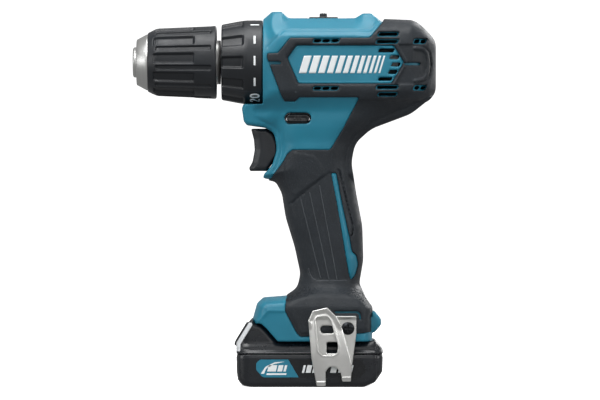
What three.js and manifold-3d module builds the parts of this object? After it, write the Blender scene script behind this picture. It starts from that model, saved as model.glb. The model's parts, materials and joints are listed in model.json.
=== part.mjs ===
// A compact 12 V class cordless drill driver: clamshell housing with rubber grips, keyless chuck,
// clutch ring, two-stage planetary gearbox, brushed motor, trigger switch, slide-on battery pack and
// belt clip.
// Millimetres, +Z up. The chuck points to -X, the battery stands on z = 0, and y = 0 is the parting plane.
import * as THREE from "three";
import { mergeVertices } from "three/addons/utils/BufferGeometryUtils.js";
import Module from "manifold-3d";

const wasm = await Module();
wasm.setup();

// ---------------------------------------------------------------- driving dimensions
const AXIS_Z = 190; // height of the drive axis
const GAP = 0.3; // clearance between pieces that touch or run in each other
const WALL = 2.8; // housing wall, rubber included
const SKIN = 1.3; // rubber overmould thickness

const RING_FRONT = -51.4; // clutch ring
const RING_REAR = -27.5;
const RING_R = 24.7;
const HEAD_FRONT = -27;
const HEAD_REAR = 74.1;
const HEAD_HALF = 26.5; // half width of the motor housing
const HEAD_TOP = 215.7;
const FOOT_HALF = 28.2;
const FOOT_BOTTOM = 26.6;

const NOSE_X = -103.5; // chuck
const SLEEVE_FRONT = -95.1;
const SLEEVE_REAR = -54.2;
const BORE_R = 5.4;
const JAWS = 3;
const JAW_R = 3;
const SOCKET_R = 2.4; // screw that holds the chuck on the spindle
const JAW_LENGTH = 22;
const JAW_TILT = THREE.MathUtils.degToRad(17.5);
const JAW_BACK = 15; // how far back along the drive axis the jaws sit, fully open
const JAW_TIP_R = 2.6; // distance of a shut jaw's axis from the drive axis at the nose

const MODULE = 0.7; // gears: sun, planets and ring of both stages
const SUN_TEETH = 12;
const PLANET_TEETH = 15;
const RING_TEETH = 42;
const PLANETS = 3;
const CENTRE_DISTANCE = (MODULE * (SUN_TEETH + PLANET_TEETH)) / 2;
const CASE_INNER = 17.2;
const CASE_OUTER = 20;
const CASE_FRONT = -49.4;
const STAGE_2 = [-19.4, -12.6]; // planets on X: the slow stage, next to the chuck
const STAGE_1 = [-8.8, -2.2]; // the fast stage, next to the motor
const CARRIER_R = 13.2;
const BEARING_R = 10;

const CAN_X = [2, 52]; // motor
const CAN_R = 18;
const CAN_WALL = 1;
const BRUSH_X = [45, 49.5];
const FAN_X = [56.8, 62];

const RAIL_NECK_HALF = 16.9; // slot for the battery's rail
const RAIL_HALF = 20.6;
const RAIL_Z = [30.6, 37.6];

const CELL_R = 8.8; // battery
const CELL_FRONT = -33;
const CELL_LENGTH = 65;
const CELL_PITCH = 17.9;
const CELL_Z = 10.9;
const PACK_HALF = 28;
const PACK_SPLIT = 19;

const CLIP_SHEET = 1.4; // belt clip
const CLIP_BACK_Y = -28.5;
const CLIP_GAP = 5.4;
const CLIP_SCREW = [22.6, 34.4];

const TRIGGER_HALF = 8.8;
const SPRING_Z = 138; // height of the trigger's spring
const SPRING_R = 2.7;
const SHAFT_R = 1.6;

// ---------------------------------------------------------------- materials
const finish = (color, roughness, metalness = 0) =>
  new THREE.MeshStandardMaterial({ color, roughness, metalness });
const teal = finish(0x1f7f96, 0.45);
const rubber = finish(0x2b2e33, 0.85);
const blackPlastic = finish(0x1d1f22, 0.45);
const packPlastic = finish(0x202226, 0.35);
const steel = finish(0xb9bbbd, 0.3, 1);
const gearSteel = finish(0x77797c, 0.45, 1);
const castAlloy = finish(0x9a9c9f, 0.5, 1);
const blackSteel = finish(0x2a2a2c, 0.4, 1);
const copper = finish(0xb56a3c, 0.4, 1);
const brass = finish(0xc9a24a, 0.35, 1);
const magnet = finish(0x3a3a3d, 0.7);
const lens = finish(0xf4f2e2, 0.1);
const cellWrap = finish(0x3f8f5a, 0.4);

// ---------------------------------------------------------------- solids
// A closed three.js geometry as a manifold-3d solid, facing outwards.
function solid(geometry) {
  const loose = geometry.index ? geometry.toNonIndexed() : geometry;
  const bare = new THREE.BufferGeometry().setAttribute("position", loose.getAttribute("position"));
  const merged = mergeVertices(bare, 1e-4);
  const corners = merged.index.array;
  const kept = [];
  for (let i = 0; i < corners.length; i += 3) {
    const [a, b, c] = [corners[i], corners[i + 1], corners[i + 2]];
    if (a !== b && b !== c && a !== c) kept.push(a, b, c);
  }
  const vertProperties = new Float32Array(merged.attributes.position.array);
  const made = (tris) =>
    new wasm.Manifold(
      new wasm.Mesh({ numProp: 3, vertProperties, triVerts: new Uint32Array(tris) }),
    );
  const first = made(kept);
  return first.volume() >= 0 ? first : made(kept.reverse());
}

const join = (first, ...rest) => rest.reduce((sum, s) => sum.add(s), first);
const cut = (first, ...rest) => rest.reduce((sum, s) => sum.subtract(s), first);

// Moves or turns a solid by a three.js matrix.
const placed = (s, matrix) => s.transform(matrix.elements);
const shifted = (s, x, y, z) => placed(s, new THREE.Matrix4().makeTranslation(x, y, z));

// Turns a solid about the drive axis.
function spun(s, angle) {
  const about = new THREE.Matrix4().makeTranslation(0, 0, AXIS_Z);
  about.multiply(new THREE.Matrix4().makeRotationX(angle));
  about.multiply(new THREE.Matrix4().makeTranslation(0, 0, -AXIS_Z));
  return placed(s, about);
}

function box(x0, x1, y0, y1, z0, z1) {
  const g = new THREE.BoxGeometry(x1 - x0, y1 - y0, z1 - z0);
  return solid(g.translate((x0 + x1) / 2, (y0 + y1) / 2, (z0 + z1) / 2));
}

// A profile of [x, r] points turned about an axis along X at height z and depth y.
function turned(profile, segments = 32, z = AXIS_Z, y = 0) {
  const points = profile.map(([x, r]) => new THREE.Vector2(r, x));
  const g = new THREE.LatheGeometry(points, segments);
  return solid(g.rotateZ(-Math.PI / 2).translate(0, y, z));
}

// A disc or ring between two stations on X.
function ring(x0, x1, inner, outer, segments = 24, z = AXIS_Z, y = 0) {
  const profile =
    inner > 0
      ? [[x0, inner], [x0, outer], [x1, outer], [x1, inner], [x0, inner]]
      : [[x0, 0], [x0, outer], [x1, outer], [x1, 0]];
  return turned(profile, segments, z, y);
}

// A round bar along Y.
function crossBar(x, z, y0, y1, radius, segments = 10) {
  const g = new THREE.CylinderGeometry(radius, radius, y1 - y0, segments);
  return solid(g.translate(x, (y0 + y1) / 2, z));
}

const outline = (points) => new THREE.Shape(points.map(([u, v]) => new THREE.Vector2(u, v)));

// An outline in X and Z carried along Y from y0 to y1, its edges rounded by bevel and its sides moved
// out by grow.
function sideways(points, y0, y1, { bevel = 0, grow = 0 } = {}) {
  const g = new THREE.ExtrudeGeometry(outline(points), {
    depth: y1 - y0 - 2 * bevel,
    bevelEnabled: bevel > 0 || grow !== 0,
    bevelSize: bevel,
    bevelThickness: bevel,
    bevelOffset: grow - bevel,
    bevelSegments: 1,
  });
  return solid(g.rotateX(Math.PI / 2).translate(0, y1 - bevel, 0));
}

// An outline in Y and Z carried along X.
function endways(points, x0, x1) {
  const g = new THREE.ExtrudeGeometry(outline(points), { depth: x1 - x0, bevelEnabled: false });
  const turn = new THREE.Matrix4().makeBasis(
    new THREE.Vector3(0, 1, 0),
    new THREE.Vector3(0, 0, 1),
    new THREE.Vector3(1, 0, 0),
  );
  return solid(g.applyMatrix4(turn).translate(x0, 0, 0));
}

// A rectangle with round corners as outline points.
function roundRect(u0, u1, v0, v1, radius, steps = 4) {
  const points = [];
  const corners = [
    [u1 - radius, v0 + radius, -90],
    [u1 - radius, v1 - radius, 0],
    [u0 + radius, v1 - radius, 90],
    [u0 + radius, v0 + radius, 180],
  ];
  for (const [u, v, start] of corners) {
    for (let i = 0; i <= steps; i++) {
      const a = THREE.MathUtils.degToRad(start + (90 * i) / steps);
      points.push([u + radius * Math.cos(a), v + radius * Math.sin(a)]);
    }
  }
  return points;
}

// A block with round vertical corners and bevelled top and bottom edges.
function slab(x0, x1, y0, y1, z0, z1, radius, bevel = 0) {
  const g = new THREE.ExtrudeGeometry(outline(roundRect(x0, x1, y0, y1, radius)), {
    depth: z1 - z0 - 2 * bevel,
    bevelEnabled: bevel > 0,
    bevelSize: bevel,
    bevelThickness: bevel,
    bevelOffset: -bevel,
    bevelSegments: 1,
  });
  return solid(g.translate(0, 0, z0 + bevel));
}

// Skins a list of rings of points, all of one length, and closes both ends.
function loft(rings) {
  const count = rings[0].length;
  const points = rings.flat();
  const faces = [];
  for (let s = 0; s < rings.length - 1; s++) {
    for (let i = 0; i < count; i++) {
      const j = (i + 1) % count;
      const [a, b] = [s * count + i, s * count + j];
      const [c, d] = [a + count, b + count];
      faces.push(a, b, d, a, d, c);
    }
  }
  const last = (rings.length - 1) * count;
  for (let i = 1; i < count - 1; i++) {
    faces.push(0, i + 1, i);
    faces.push(last, last + i, last + i + 1);
  }
  const g = new THREE.BufferGeometry().setFromPoints(points);
  return solid(g.setIndex(faces));
}

// A superellipse of half axes a and b as count pairs.
function superellipse(a, b, power, count) {
  const bend = (t) => Math.sign(t) * Math.abs(t) ** (2 / power);
  return Array.from({ length: count }, (_, i) => {
    const angle = (2 * Math.PI * (i + 0.5)) / count;
    return [a * bend(Math.cos(angle)), b * bend(Math.sin(angle))];
  });
}

// A wire coil about an axis along X.
function coil(x0, x1, radius, wire, turns, perTurn, z = AXIS_Z) {
  const steps = turns * perTurn;
  const path = new THREE.CatmullRomCurve3(
    Array.from({ length: steps + 1 }, (_, i) => {
      const a = (2 * Math.PI * turns * i) / steps;
      const x = x0 + wire + ((x1 - x0 - 2 * wire) * i) / steps;
      return new THREE.Vector3(x, radius * Math.cos(a), z + radius * Math.sin(a));
    }),
  );
  const section = outline(
    Array.from({ length: 6 }, (_, i) => {
      const a = (Math.PI * i) / 3;
      return [wire * Math.cos(a), wire * Math.sin(a)];
    }),
  );
  return solid(new THREE.ExtrudeGeometry(section, { steps, extrudePath: path }));
}

const drill = new THREE.Group();
drill.name = "cordless_drill";

// A solid as a named mesh.
function meshOf(name, s, material) {
  const { vertProperties, triVerts, numProp } = s.getMesh();
  const positions = new Float32Array((vertProperties.length / numProp) * 3);
  for (let i = 0; i < positions.length / 3; i++) {
    positions.set(vertProperties.subarray(i * numProp, i * numProp + 3), i * 3);
  }
  const g = new THREE.BufferGeometry();
  g.setAttribute("position", new THREE.BufferAttribute(positions, 3));
  g.setIndex(new THREE.BufferAttribute(triVerts, 1));
  g.computeVertexNormals();
  const mesh = new THREE.Mesh(g, material);
  mesh.name = name;
  return mesh;
}

const part = (name, s, material) => drill.add(meshOf(name, s, material));

// Adds copies of a solid round the drive axis, each in a group of its own that is turned by its angle.
function partsRound(prefix, s, material, angles) {
  const centred = shifted(s, 0, 0, -AXIS_Z);
  angles.forEach((angle, i) => {
    const arm = new THREE.Group();
    arm.position.z = AXIS_Z;
    arm.rotation.x = angle;
    arm.add(meshOf(`${prefix}_${i + 1}`, centred, material));
    drill.add(arm);
  });
}

// Angles of count copies spread evenly round the drive axis.
const around = (count, start = 0) =>
  Array.from({ length: count }, (_, i) => start + (2 * Math.PI * i) / count);

// ---------------------------------------------------------------- housing shapes
// Stations of the motor housing along X: x, bottom, top, half width, squareness.
const HEAD_STATIONS = [
  [HEAD_FRONT, 164.8, 215.2, 25.4, 2.1],
  [-14, 163, HEAD_TOP, HEAD_HALF, 2.5],
  [44, 163, 214.8, HEAD_HALF, 2.6],
  [62, 162.5, 212.8, 25.4, 2.6],
  [70, 168, 207, 22, 2.6],
  [HEAD_REAR, 174.5, 200.5, 17, 2.6],
];

function head(inset, count = 20) {
  return loft(
    HEAD_STATIONS.map(([x, low, high, half, power], i) => {
      const end = i === 0 ? inset : i === HEAD_STATIONS.length - 1 ? -inset : 0;
      const middle = (low + high) / 2;
      return superellipse(half - inset, (high - low) / 2 - inset, power, count).map(
        ([y, z]) => new THREE.Vector3(x + end, y, middle + z),
      );
    }),
  );
}

// Stations of the handle along Z: z, front, rear, half width, squareness.
const GRIP_STATIONS = [
  [172, -24, 64, 22, 2.8],
  [160.5, -23, 60, 21.5, 2.5],
  [150, -21, 34.8, 19.3, 2.3],
  [141, -19.8, 26.6, 18.4, 2.3],
  [127, -23.2, 25.2, 18, 2.3],
  [121.2, -23.6, 26.1, 17.8, 2.3],
  [116, -17.2, 27.3, 17.8, 2.3],
  [97.3, -12.9, 30.4, 18.4, 2.3],
  [72, -6, 31.2, 18.6, 2.3],
  [60, -5.6, 30.3, 19.2, 2.3],
  [53.5, -11.5, 32.8, 24, 2.8],
  [49, -16, 35.2, 26.6, 3.4],
];

function grip(inset, count = 16) {
  return loft(
    GRIP_STATIONS.map(([z, front, rear, half, power]) => {
      const middle = (front + rear) / 2;
      return superellipse((rear - front) / 2 - inset, half - inset, power, count).map(
        ([x, y]) => new THREE.Vector3(middle + x, y, z),
      );
    }),
  );
}

const FOOT_OUTLINE = [
  [-32.8, 39.5],
  [-31, 37.4],
  [-27.6, 36.8],
  [-24.7, 34.1],
  [-18.3, FOOT_BOTTOM],
  [37, FOOT_BOTTOM],
  [37, 43.8],
  [35.9, 47.9],
  [34, 51],
  [-27, 51.7],
  [-30.6, 47.9],
];

const CHIN_OUTLINE = [
  [-38.6, 165.5],
  [-39.2, 163],
  [-37.9, 154.7],
  [-36.2, 153],
  [-25.5, 151.6],
  [-18, 151],
  [-10, 158],
  [-10, 170],
  [-30, 168],
];

// The two humps on top of the head, as outlines on the parting plane.
const FRONT_HUMP = [
  [HEAD_FRONT, 212],
  [HEAD_FRONT, 214.6],
  [-21.8, 219.7],
  [-16.1, 219.7],
  [-11.8, 216],
  [-8, 212],
];
const REAR_HUMP = [
  [24, 208],
  [27.5, 215.9],
  [31.8, 218.6],
  [36.5, 218.6],
  [42.5, 213.8],
  [42.5, 208],
];
const REAR_PAD = [
  [36, 31.5],
  [38, 31.8],
  [42, 35.3],
  [42.2, 38.6],
  [40.7, 42],
  [37.6, 44.2],
  [36, 44],
];

function housingOuter() {
  return join(
    head(0),
    grip(0),
    sideways(FOOT_OUTLINE, -FOOT_HALF, FOOT_HALF, { bevel: 2.5 }),
    sideways(CHIN_OUTLINE, -14, 14, { bevel: 2.5 }),
    sideways(FRONT_HUMP, -9, 9, { bevel: 1.5 }),
    sideways(REAR_HUMP, -9, 9, { bevel: 1.5 }),
    sideways(REAR_PAD, -16, 16, { bevel: 1 }),
  );
}

// What the rubber covers, seen from the side; the label panel and the handle strip stay open.
const RUBBER_OUTLINE = [
  [-24.6, 195.1],
  [-18, 195.5],
  [-11, 204.5],
  [35.7, 204.4],
  [42.8, 213.7],
  [44, 226],
  [84, 226],
  [84, 150],
  [50, 120],
  [50, 60],
  [36.6, 47],
  [36.6, 31],
  [-5.4, 28.6],
  [-7.7, 31.5],
  [-14.2, 39.7],
  [-13.7, 44.4],
  [-13.7, 56],
  [-28, 90],
  [-31, 115],
  [-25, 121.3],
  [-23, 121.5],
  [-15.3, 131.8],
  [-12.8, 136.7],
  [-10.3, 138.6],
  [12.3, 138.9],
  [20, 151.4],
  [29.4, 169.3],
  [-5.5, 169.5],
  [-8.1, 167],
  [-14.3, 167],
  [-15.5, 168.7],
  [-24.8, 193],
];
const LABEL_OUTLINE = [
  [-12.2, 192.8],
  [-7.3, 199.6],
  [49.6, 199.6],
  [55.2, 190.2],
  [48.4, 177.9],
  [-6, 178.2],
];
const STRIP_OUTLINE = [
  [13.2, 125],
  [16.5, 125.3],
  [22.4, 90],
  [25.4, 79],
  [29.4, 75.5],
  [30, 68],
  [27.4, 63.8],
  [24.6, 62.4],
  [22.4, 78],
  [18, 102],
];

// Vent slots through the side walls: x0, x1, z0, z1.
const VENTS = [
  [40.8, 52, 204.4, 207.8],
  [39.8, 52.2, 201, 203.4],
  [39.8, 52.2, 172.6, 175.2],
  [61.5, 69.2, 200.4, 203.4],
  [61.5, 69.2, 173.8, 176.4],
];

// Housing screws, heads on the +Y side: x, z and the depth of the seat under the head.
const SCREWS = [
  [65.8, 208.2, 12],
  [60.5, 166.8, 13],
  [20.6, 139, 9],
  [17, 65, 13.5],
  [-24.5, 46, 22.5],
  [31.5, 44.6, 22.5],
];
const SCREW_HEAD_R = 2.8;
const SCREW_R = 1.4;
const BOSS_R = 4;

const TRIGGER_Z = [125.6, 150.9];
const BUTTON = { x0: -13.6, x1: 0.6, z: 156.9, half: 2.7, reach: 20.3 };

function cavity() {
  const handle = cut(grip(WALL, 12), box(-40, 40, -30, 30, 26, 53));
  const room = join(head(WALL, 16), handle, box(-9, 28, -15, 15, 40, 54));
  return cut(room, ...SCREWS.map(([x, z, y]) => crossBar(x, z, -y - 1, y + 2, BOSS_R, 8)));
}

// The T-slot in the foot that the battery's rail slides along, open at the front.
function railSlot() {
  const neck = box(-45, 32, -RAIL_NECK_HALF, RAIL_NECK_HALF, 26, 34);
  return join(neck, box(-45, 32, -RAIL_HALF, RAIL_HALF, ...RAIL_Z));
}

function buttonShape(grow, reach) {
  const { x0, x1, z, half } = BUTTON;
  const pill = roundRect(x0 - grow, x1 + grow, z - half - grow, z + half + grow, half + grow, 5);
  return sideways(pill, -reach, reach);
}

// Everything that opens the housing from outside.
function housingCuts() {
  const clearance = RING_R + 0.5;
  return [
    turned([[-60, 0], [-60, clearance], [HEAD_FRONT, clearance], [HEAD_FRONT, 0]], 40),
    ring(HEAD_FRONT - 1, HEAD_FRONT + 5, 0, CASE_OUTER + GAP, 36),
    box(-45, -12, -TRIGGER_HALF - 0.5, TRIGGER_HALF + 0.5, ...TRIGGER_Z),
    buttonShape(0.4, 40),
    box(-0.6, 21.8, -7, 7, 214.9, 222),
    box(5.8, 15.4, -3, 3, 206, 222),
    railSlot(),
    box(-41, -33, -5.4, 5.4, 154.5, 160.5),
    crossBar(...CLIP_SCREW, -40, -22, 1.9),
    ...VENTS.map(([x0, x1, z0, z1]) => box(x0, x1, -40, 40, z0, z1)),
    ...SCREWS.map(([x, z]) => crossBar(x, z, -10, 40, SCREW_R + GAP)),
    ...SCREWS.map(([x, z, y]) => crossBar(x, z, y, 40, SCREW_HEAD_R + GAP)),
  ];
}

function rubberRegion(shrink) {
  const openings = [LABEL_OUTLINE, STRIP_OUTLINE].map((o) => sideways(o, -41, 41, { grow: shrink }));
  return cut(sideways(RUBBER_OUTLINE, -40, 40, { grow: -shrink }), ...openings);
}

// The housing without its rubber, inset from the outside.
function core(inset) {
  const foot = sideways(FOOT_OUTLINE, -FOOT_HALF + inset, FOOT_HALF - inset, { bevel: 2.5 });
  return join(head(inset), grip(inset), foot);
}

function addHousing() {
  const outer = housingOuter();
  const cuts = housingCuts();
  const bare = join(cut(outer, rubberRegion(0)), outer.intersect(core(SKIN)));
  const shell = cut(bare, cavity(), ...cuts);
  const skin = cut(outer.intersect(rubberRegion(GAP)), core(SKIN - GAP), ...cuts);
  const left = box(-60, 90, -60, -GAP / 2, 20, 230);
  const right = box(-60, 90, GAP / 2, 60, 20, 230);
  part("housing_left", shell.intersect(left), teal);
  part("housing_right", shell.intersect(right), teal);
  part("grip_left", skin.intersect(left), rubber);
  part("grip_right", skin.intersect(right), rubber);
}

function addHousingScrews() {
  SCREWS.forEach(([x, z, y], i) => {
    const shank = crossBar(x, z, -8, y + 1, SCREW_R, 8);
    part(`housing_screw_${i + 1}`, join(shank, crossBar(x, z, y + GAP, y + 2, SCREW_HEAD_R)), blackSteel);
  });
}

// ---------------------------------------------------------------- chuck
// A bar of a jaw's shape along the tilted jaw line, from the shut tip at distance from to distance to.
function jawLine(radius, from, to, segments = 12) {
  const g = new THREE.CylinderGeometry(radius, radius, to - from, segments);
  g.translate(0, (from + to) / 2, 0).rotateZ(-Math.PI / 2);
  g.rotateY(-JAW_TILT);
  return solid(g.translate(NOSE_X + 0.5, 0, AXIS_Z + JAW_TIP_R));
}

function chuckBody() {
  const blank = turned(
    [
      [NOSE_X, 0],
      [NOSE_X, 8],
      [-103, 8.8],
      [-101.3, 8.8],
      [-101.2, 13.6],
      [SLEEVE_FRONT, 16.6],
      [-94.8, 16.2],
      [-78, 16.2],
      [-78, 13],
      [-51.8, 13],
      [-51.8, 0],
    ],
    30,
  );
  const jawBore = jawLine(JAW_R + GAP, -4, 42);
  const jawBores = around(JAWS).map((angle) => spun(jawBore, angle));
  return cut(
    blank,
    ring(NOSE_X - 1, -72, 0, BORE_R, 24),
    ring(-73, -65, 0, SOCKET_R, 12),
    ring(-66.3, -51, 0, 5.3, 24),
    ...jawBores,
  );
}

// A jaw for the top bore, fully open: a round bar ground to a 120 degree wedge that faces the drive axis.
function jaw() {
  const apex = AXIS_Z + 0.2;
  const wedge = endways([[0, apex], [40, apex + 23.1], [-40, apex + 23.1]], -110, -70);
  const shut = jawLine(JAW_R, 0, JAW_LENGTH).intersect(wedge);
  return shifted(shut, JAW_BACK, 0, JAW_BACK * Math.tan(JAW_TILT));
}

function sleeve() {
  const outside = [
    [-94.6, 16.6],
    [-94.6, 17],
    [-89.4, 19.8],
    [-57, 21.4],
    [-55, 21.4],
    [SLEEVE_REAR, 20.6],
    [SLEEVE_REAR, 13.5],
  ];
  const inside = [
    [-56.5, 13.5],
    [-56.5, 18.6],
    [-88.5, 18.6],
    [-89.5, 16.6],
    [-94.6, 16.6],
  ];
  return turned([...outside, ...inside], 30);
}

// Blunt grooves along X around a turned piece, each cut by a flat block.
function flutes(s, count, x0, x1, floor, width) {
  const block = box(x0, x1, -width / 2, width / 2, AXIS_Z + floor, AXIS_Z + 40);
  return cut(s, ...around(count).map((angle) => spun(block, angle)));
}

function addChuck() {
  part("chuck_body", chuckBody(), steel);
  const thread = ring(-66, -50.6, 0, 5, 20);
  const pins = planetPins(-20.5, STAGE_2[1]);
  const discs = join(thread, ring(-51, -23.5, 0, 6, 24), ring(-24, -20, 0, CARRIER_R, 28), ...pins);
  part("spindle", cut(discs, ring(-67, -58, 0, SOCKET_R, 12)), gearSteel);
  part("chuck_screw", join(ring(-74.5, -72.3, 0, 4), ring(-73, -59, 0, 2, 12)), blackSteel);
  partsRound("jaw", jaw(), steel, around(JAWS));
  part("chuck_sleeve", flutes(sleeve(), 12, -89, -66, 19.9, 5), blackPlastic);
  const nut = [[-77.4, 14.3], [-77.4, 18.2], [-70.6, 18.2], [-70.6, 16.4], [-77.4, 14.3]];
  part("chuck_nut", turned(nut, 20), gearSteel);
}

// ---------------------------------------------------------------- clutch
function addClutch() {
  const profile = [
    [RING_FRONT, 14],
    [RING_FRONT, 21.6],
    [-50.6, 22.2],
    [-41, 24.2],
    [-36, RING_R],
    [RING_REAR, RING_R],
    [RING_REAR, 20.5],
    [-49.9, 20.5],
    [-49.9, 14],
    [RING_FRONT, 14],
  ];
  part("clutch_ring", flutes(turned(profile, 30), 12, -53, -38.2, 22.6, 6.6), blackPlastic);
  part("clutch_nut", ring(-47.8, -43.3, 17.4, 20.2), castAlloy);
  part("clutch_spring", coil(-43, -31.6, 18.8, 1, 3, 16), steel);
  part("thrust_plate", ring(-31.2, -30.3, 17.4, 20.2), gearSteel);
}

// ---------------------------------------------------------------- gearbox
const PLANET_START = Math.PI / 2; // the first planet stands straight above the drive axis
const ADDENDUM = 0.45;
const DEDENDUM = 0.8;

const planetAngles = around(PLANETS, PLANET_START);
const pitchRadius = (teeth) => (MODULE * teeth) / 2;

// Flat-sided teeth: flat is the half width of a tooth's tip as a share of the tooth pitch.
function gearOutline(teeth, root, tip, flat, y = 0) {
  const pitch = (2 * Math.PI) / teeth;
  const corners = [
    [root, -0.5],
    [tip, -flat],
    [tip, flat],
  ];
  return Array.from({ length: teeth }, (_, i) =>
    corners.map(([r, share]) => {
      const a = (i + share) * pitch;
      return [y + r * Math.cos(a), AXIS_Z + r * Math.sin(a)];
    }),
  ).flat();
}

function wheel(teeth, x0, x1, y = 0) {
  const r = pitchRadius(teeth);
  return endways(gearOutline(teeth, r - DEDENDUM, r + ADDENDUM, 0.07, y), x0, x1);
}

function sun(x0, x1) {
  return spun(wheel(SUN_TEETH, x0, x1), PLANET_START);
}

function ringGear(x0, x1) {
  const r = pitchRadius(RING_TEETH);
  const spaces = gearOutline(RING_TEETH, r - ADDENDUM, r + DEDENDUM, 0.2);
  return spun(cut(ring(x0, x1, 0, CASE_INNER - GAP, 36), endways(spaces, x0 - 1, x1 + 1)), PLANET_START);
}

function planetPins(x0, x1) {
  const pin = shifted(ring(x0, x1, 0, SHAFT_R - 0.2, 10), 0, CENTRE_DISTANCE, 0);
  return planetAngles.map((angle) => spun(pin, angle));
}

function addPlanets(stage, x0, x1) {
  const bore = shifted(ring(x0 - 1, x1 + 1, 0, SHAFT_R + 0.1, 10), 0, CENTRE_DISTANCE, 0);
  const planet = cut(wheel(PLANET_TEETH, x0, x1, CENTRE_DISTANCE), bore);
  partsRound(`planet_${stage}`, planet, gearSteel, planetAngles);
}

function gearCase() {
  const profile = [
    [CASE_FRONT, 8.2],
    [CASE_FRONT, 17],
    [-30, 17],
    [-30, CASE_OUTER],
    [1.7, CASE_OUTER],
    [1.7, CASE_INNER],
    [-26.5, CASE_INNER],
    [-26.5, BEARING_R + GAP],
    [-46.3, BEARING_R + GAP],
    [-46.3, 8.2],
    [CASE_FRONT, 8.2],
  ];
  return cut(turned(profile, 32), box(-18.2, -9.6, -2.4, 2.4, AXIS_Z + 15, AXIS_Z + 22));
}

function addGearbox() {
  part("gear_case", gearCase(), castAlloy);
  part("front_bearing", ring(-46, -40, 6.3, BEARING_R, 24), steel);
  addPlanets(2, ...STAGE_2);
  addPlanets(1, ...STAGE_1);
  const disc = ring(-12, -9.2, 0, CARRIER_R, 28);
  const carrier = join(sun(-19.6, -11.5), disc, ...planetPins(-9.5, STAGE_1[1]));
  part("carrier_1", carrier, gearSteel);
  part("ring_gear_1", ringGear(-7.2, -1.8), gearSteel);
  const pinHole = box(-17.8, -14.2, -2.3, 2.3, AXIS_Z + 16, AXIS_Z + 18);
  part("shift_ring_gear", cut(ringGear(-19.5, -12.9), pinHole), gearSteel);
}

// ---------------------------------------------------------------- motor
function addMotor() {
  part("motor_plate", ring(-1.4, 1.5, 3, CASE_INNER - GAP), castAlloy);
  const [front, rear] = CAN_X;
  const inner = CAN_R - CAN_WALL;
  const can = [[front, 3], [front, CAN_R], [rear, CAN_R], [rear, inner], [3.4, inner], [3.4, 3], [front, 3]];
  part("motor_can", turned(can, 24), steel);
  const magnets = ring(8, 44, 14.5, 16.5, 28);
  part("magnet_upper", magnets.intersect(box(7, 45, -20, 20, AXIS_Z + 4, AXIS_Z + 20)), magnet);
  part("magnet_lower", magnets.intersect(box(7, 45, -20, 20, AXIS_Z - 20, AXIS_Z - 4)), magnet);
  part("motor_end_bell", ring(52.3, 55.9, 2.2, 17.8), blackPlastic);
  const shaft = join(ring(-4, 66, 0, SHAFT_R, 14), sun(STAGE_1[0], -1.8));
  part("motor_shaft", shaft, gearSteel);
  const core = ring(10, 42, SHAFT_R + GAP, 13.9, 30);
  const slot = box(9, 43, -1, 1, AXIS_Z + 9, AXIS_Z + 15);
  const slots = around(5).map((angle) => spun(slot, angle));
  part("armature", cut(core, ...slots), gearSteel);
  part("commutator", ring(44, 50.5, SHAFT_R + GAP, 5.5, 20), copper);
  const [fanFront, fanRear] = FAN_X;
  const blade = box(fanFront + 0.2, fanRear, -0.6, 0.6, AXIS_Z + 4.5, AXIS_Z + 15);
  const blades = around(6).map((angle) => spun(blade, angle));
  const hub = [ring(...FAN_X, SHAFT_R + GAP, 5, 20), ring(fanFront, fanFront + 1.2, SHAFT_R + GAP, 15, 24)];
  part("cooling_fan", join(...hub, ...blades), blackPlastic);
  part("brush_near", box(...BRUSH_X, -16.6, -5.8, AXIS_Z - 2, AXIS_Z + 2), brass);
  part("brush_far", box(...BRUSH_X, 5.8, 16.6, AXIS_Z - 2, AXIS_Z + 2), brass);
}

// ---------------------------------------------------------------- controls
function trigger() {
  const shape = [
    [-33.9, 150.6],
    [-32.4, 145],
    [-32, 139.7],
    [-32.6, 134],
    [-35, 127.9],
    [-34.6, 126.4],
    [-32, 125.9],
    [-25, 125.9],
    [-21.5, 129.5],
    [-20, 134],
    [-19.7, 140.2],
    [-21.2, 147.3],
    [-25.3, 150.6],
  ];
  const body = sideways(shape, -TRIGGER_HALF, TRIGGER_HALF, { bevel: 1.5 });
  return cut(body, ring(-26, -15, 0, SPRING_R + 1, 20, SPRING_Z));
}

function addControls() {
  part("trigger", trigger(), blackPlastic);
  part("trigger_spring", coil(-25.6, -12.3, SPRING_R, 0.5, 4, 9, SPRING_Z), steel);
  const slider = box(-12, 14, -9, 9, 118, 146);
  part("switch_body", join(slider, box(-6, 8, -7, 7, 113, 119)), blackPlastic);
  part("direction_button", buttonShape(0, BUTTON.reach), blackPlastic);
  const selector = join(
    slab(0, 17, -6.5, 6.5, 215.2, 216.5, 1.5),
    slab(6.2, 10.6, -5.5, 5.5, 216, 218.9, 1),
    box(6.5, 10.5, -2.5, 2.5, 211, 215.6),
    box(-17.5, 10.5, -2, 2, 210.3, 211.8),
    box(-17.5, -14.5, -2, 2, AXIS_Z + 16.3, 211),
  );
  part("speed_selector", selector, blackPlastic);
  part("led_lens", box(-38, -33.3, -5.1, 5.1, 154.8, 160.2), lens);
}

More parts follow.
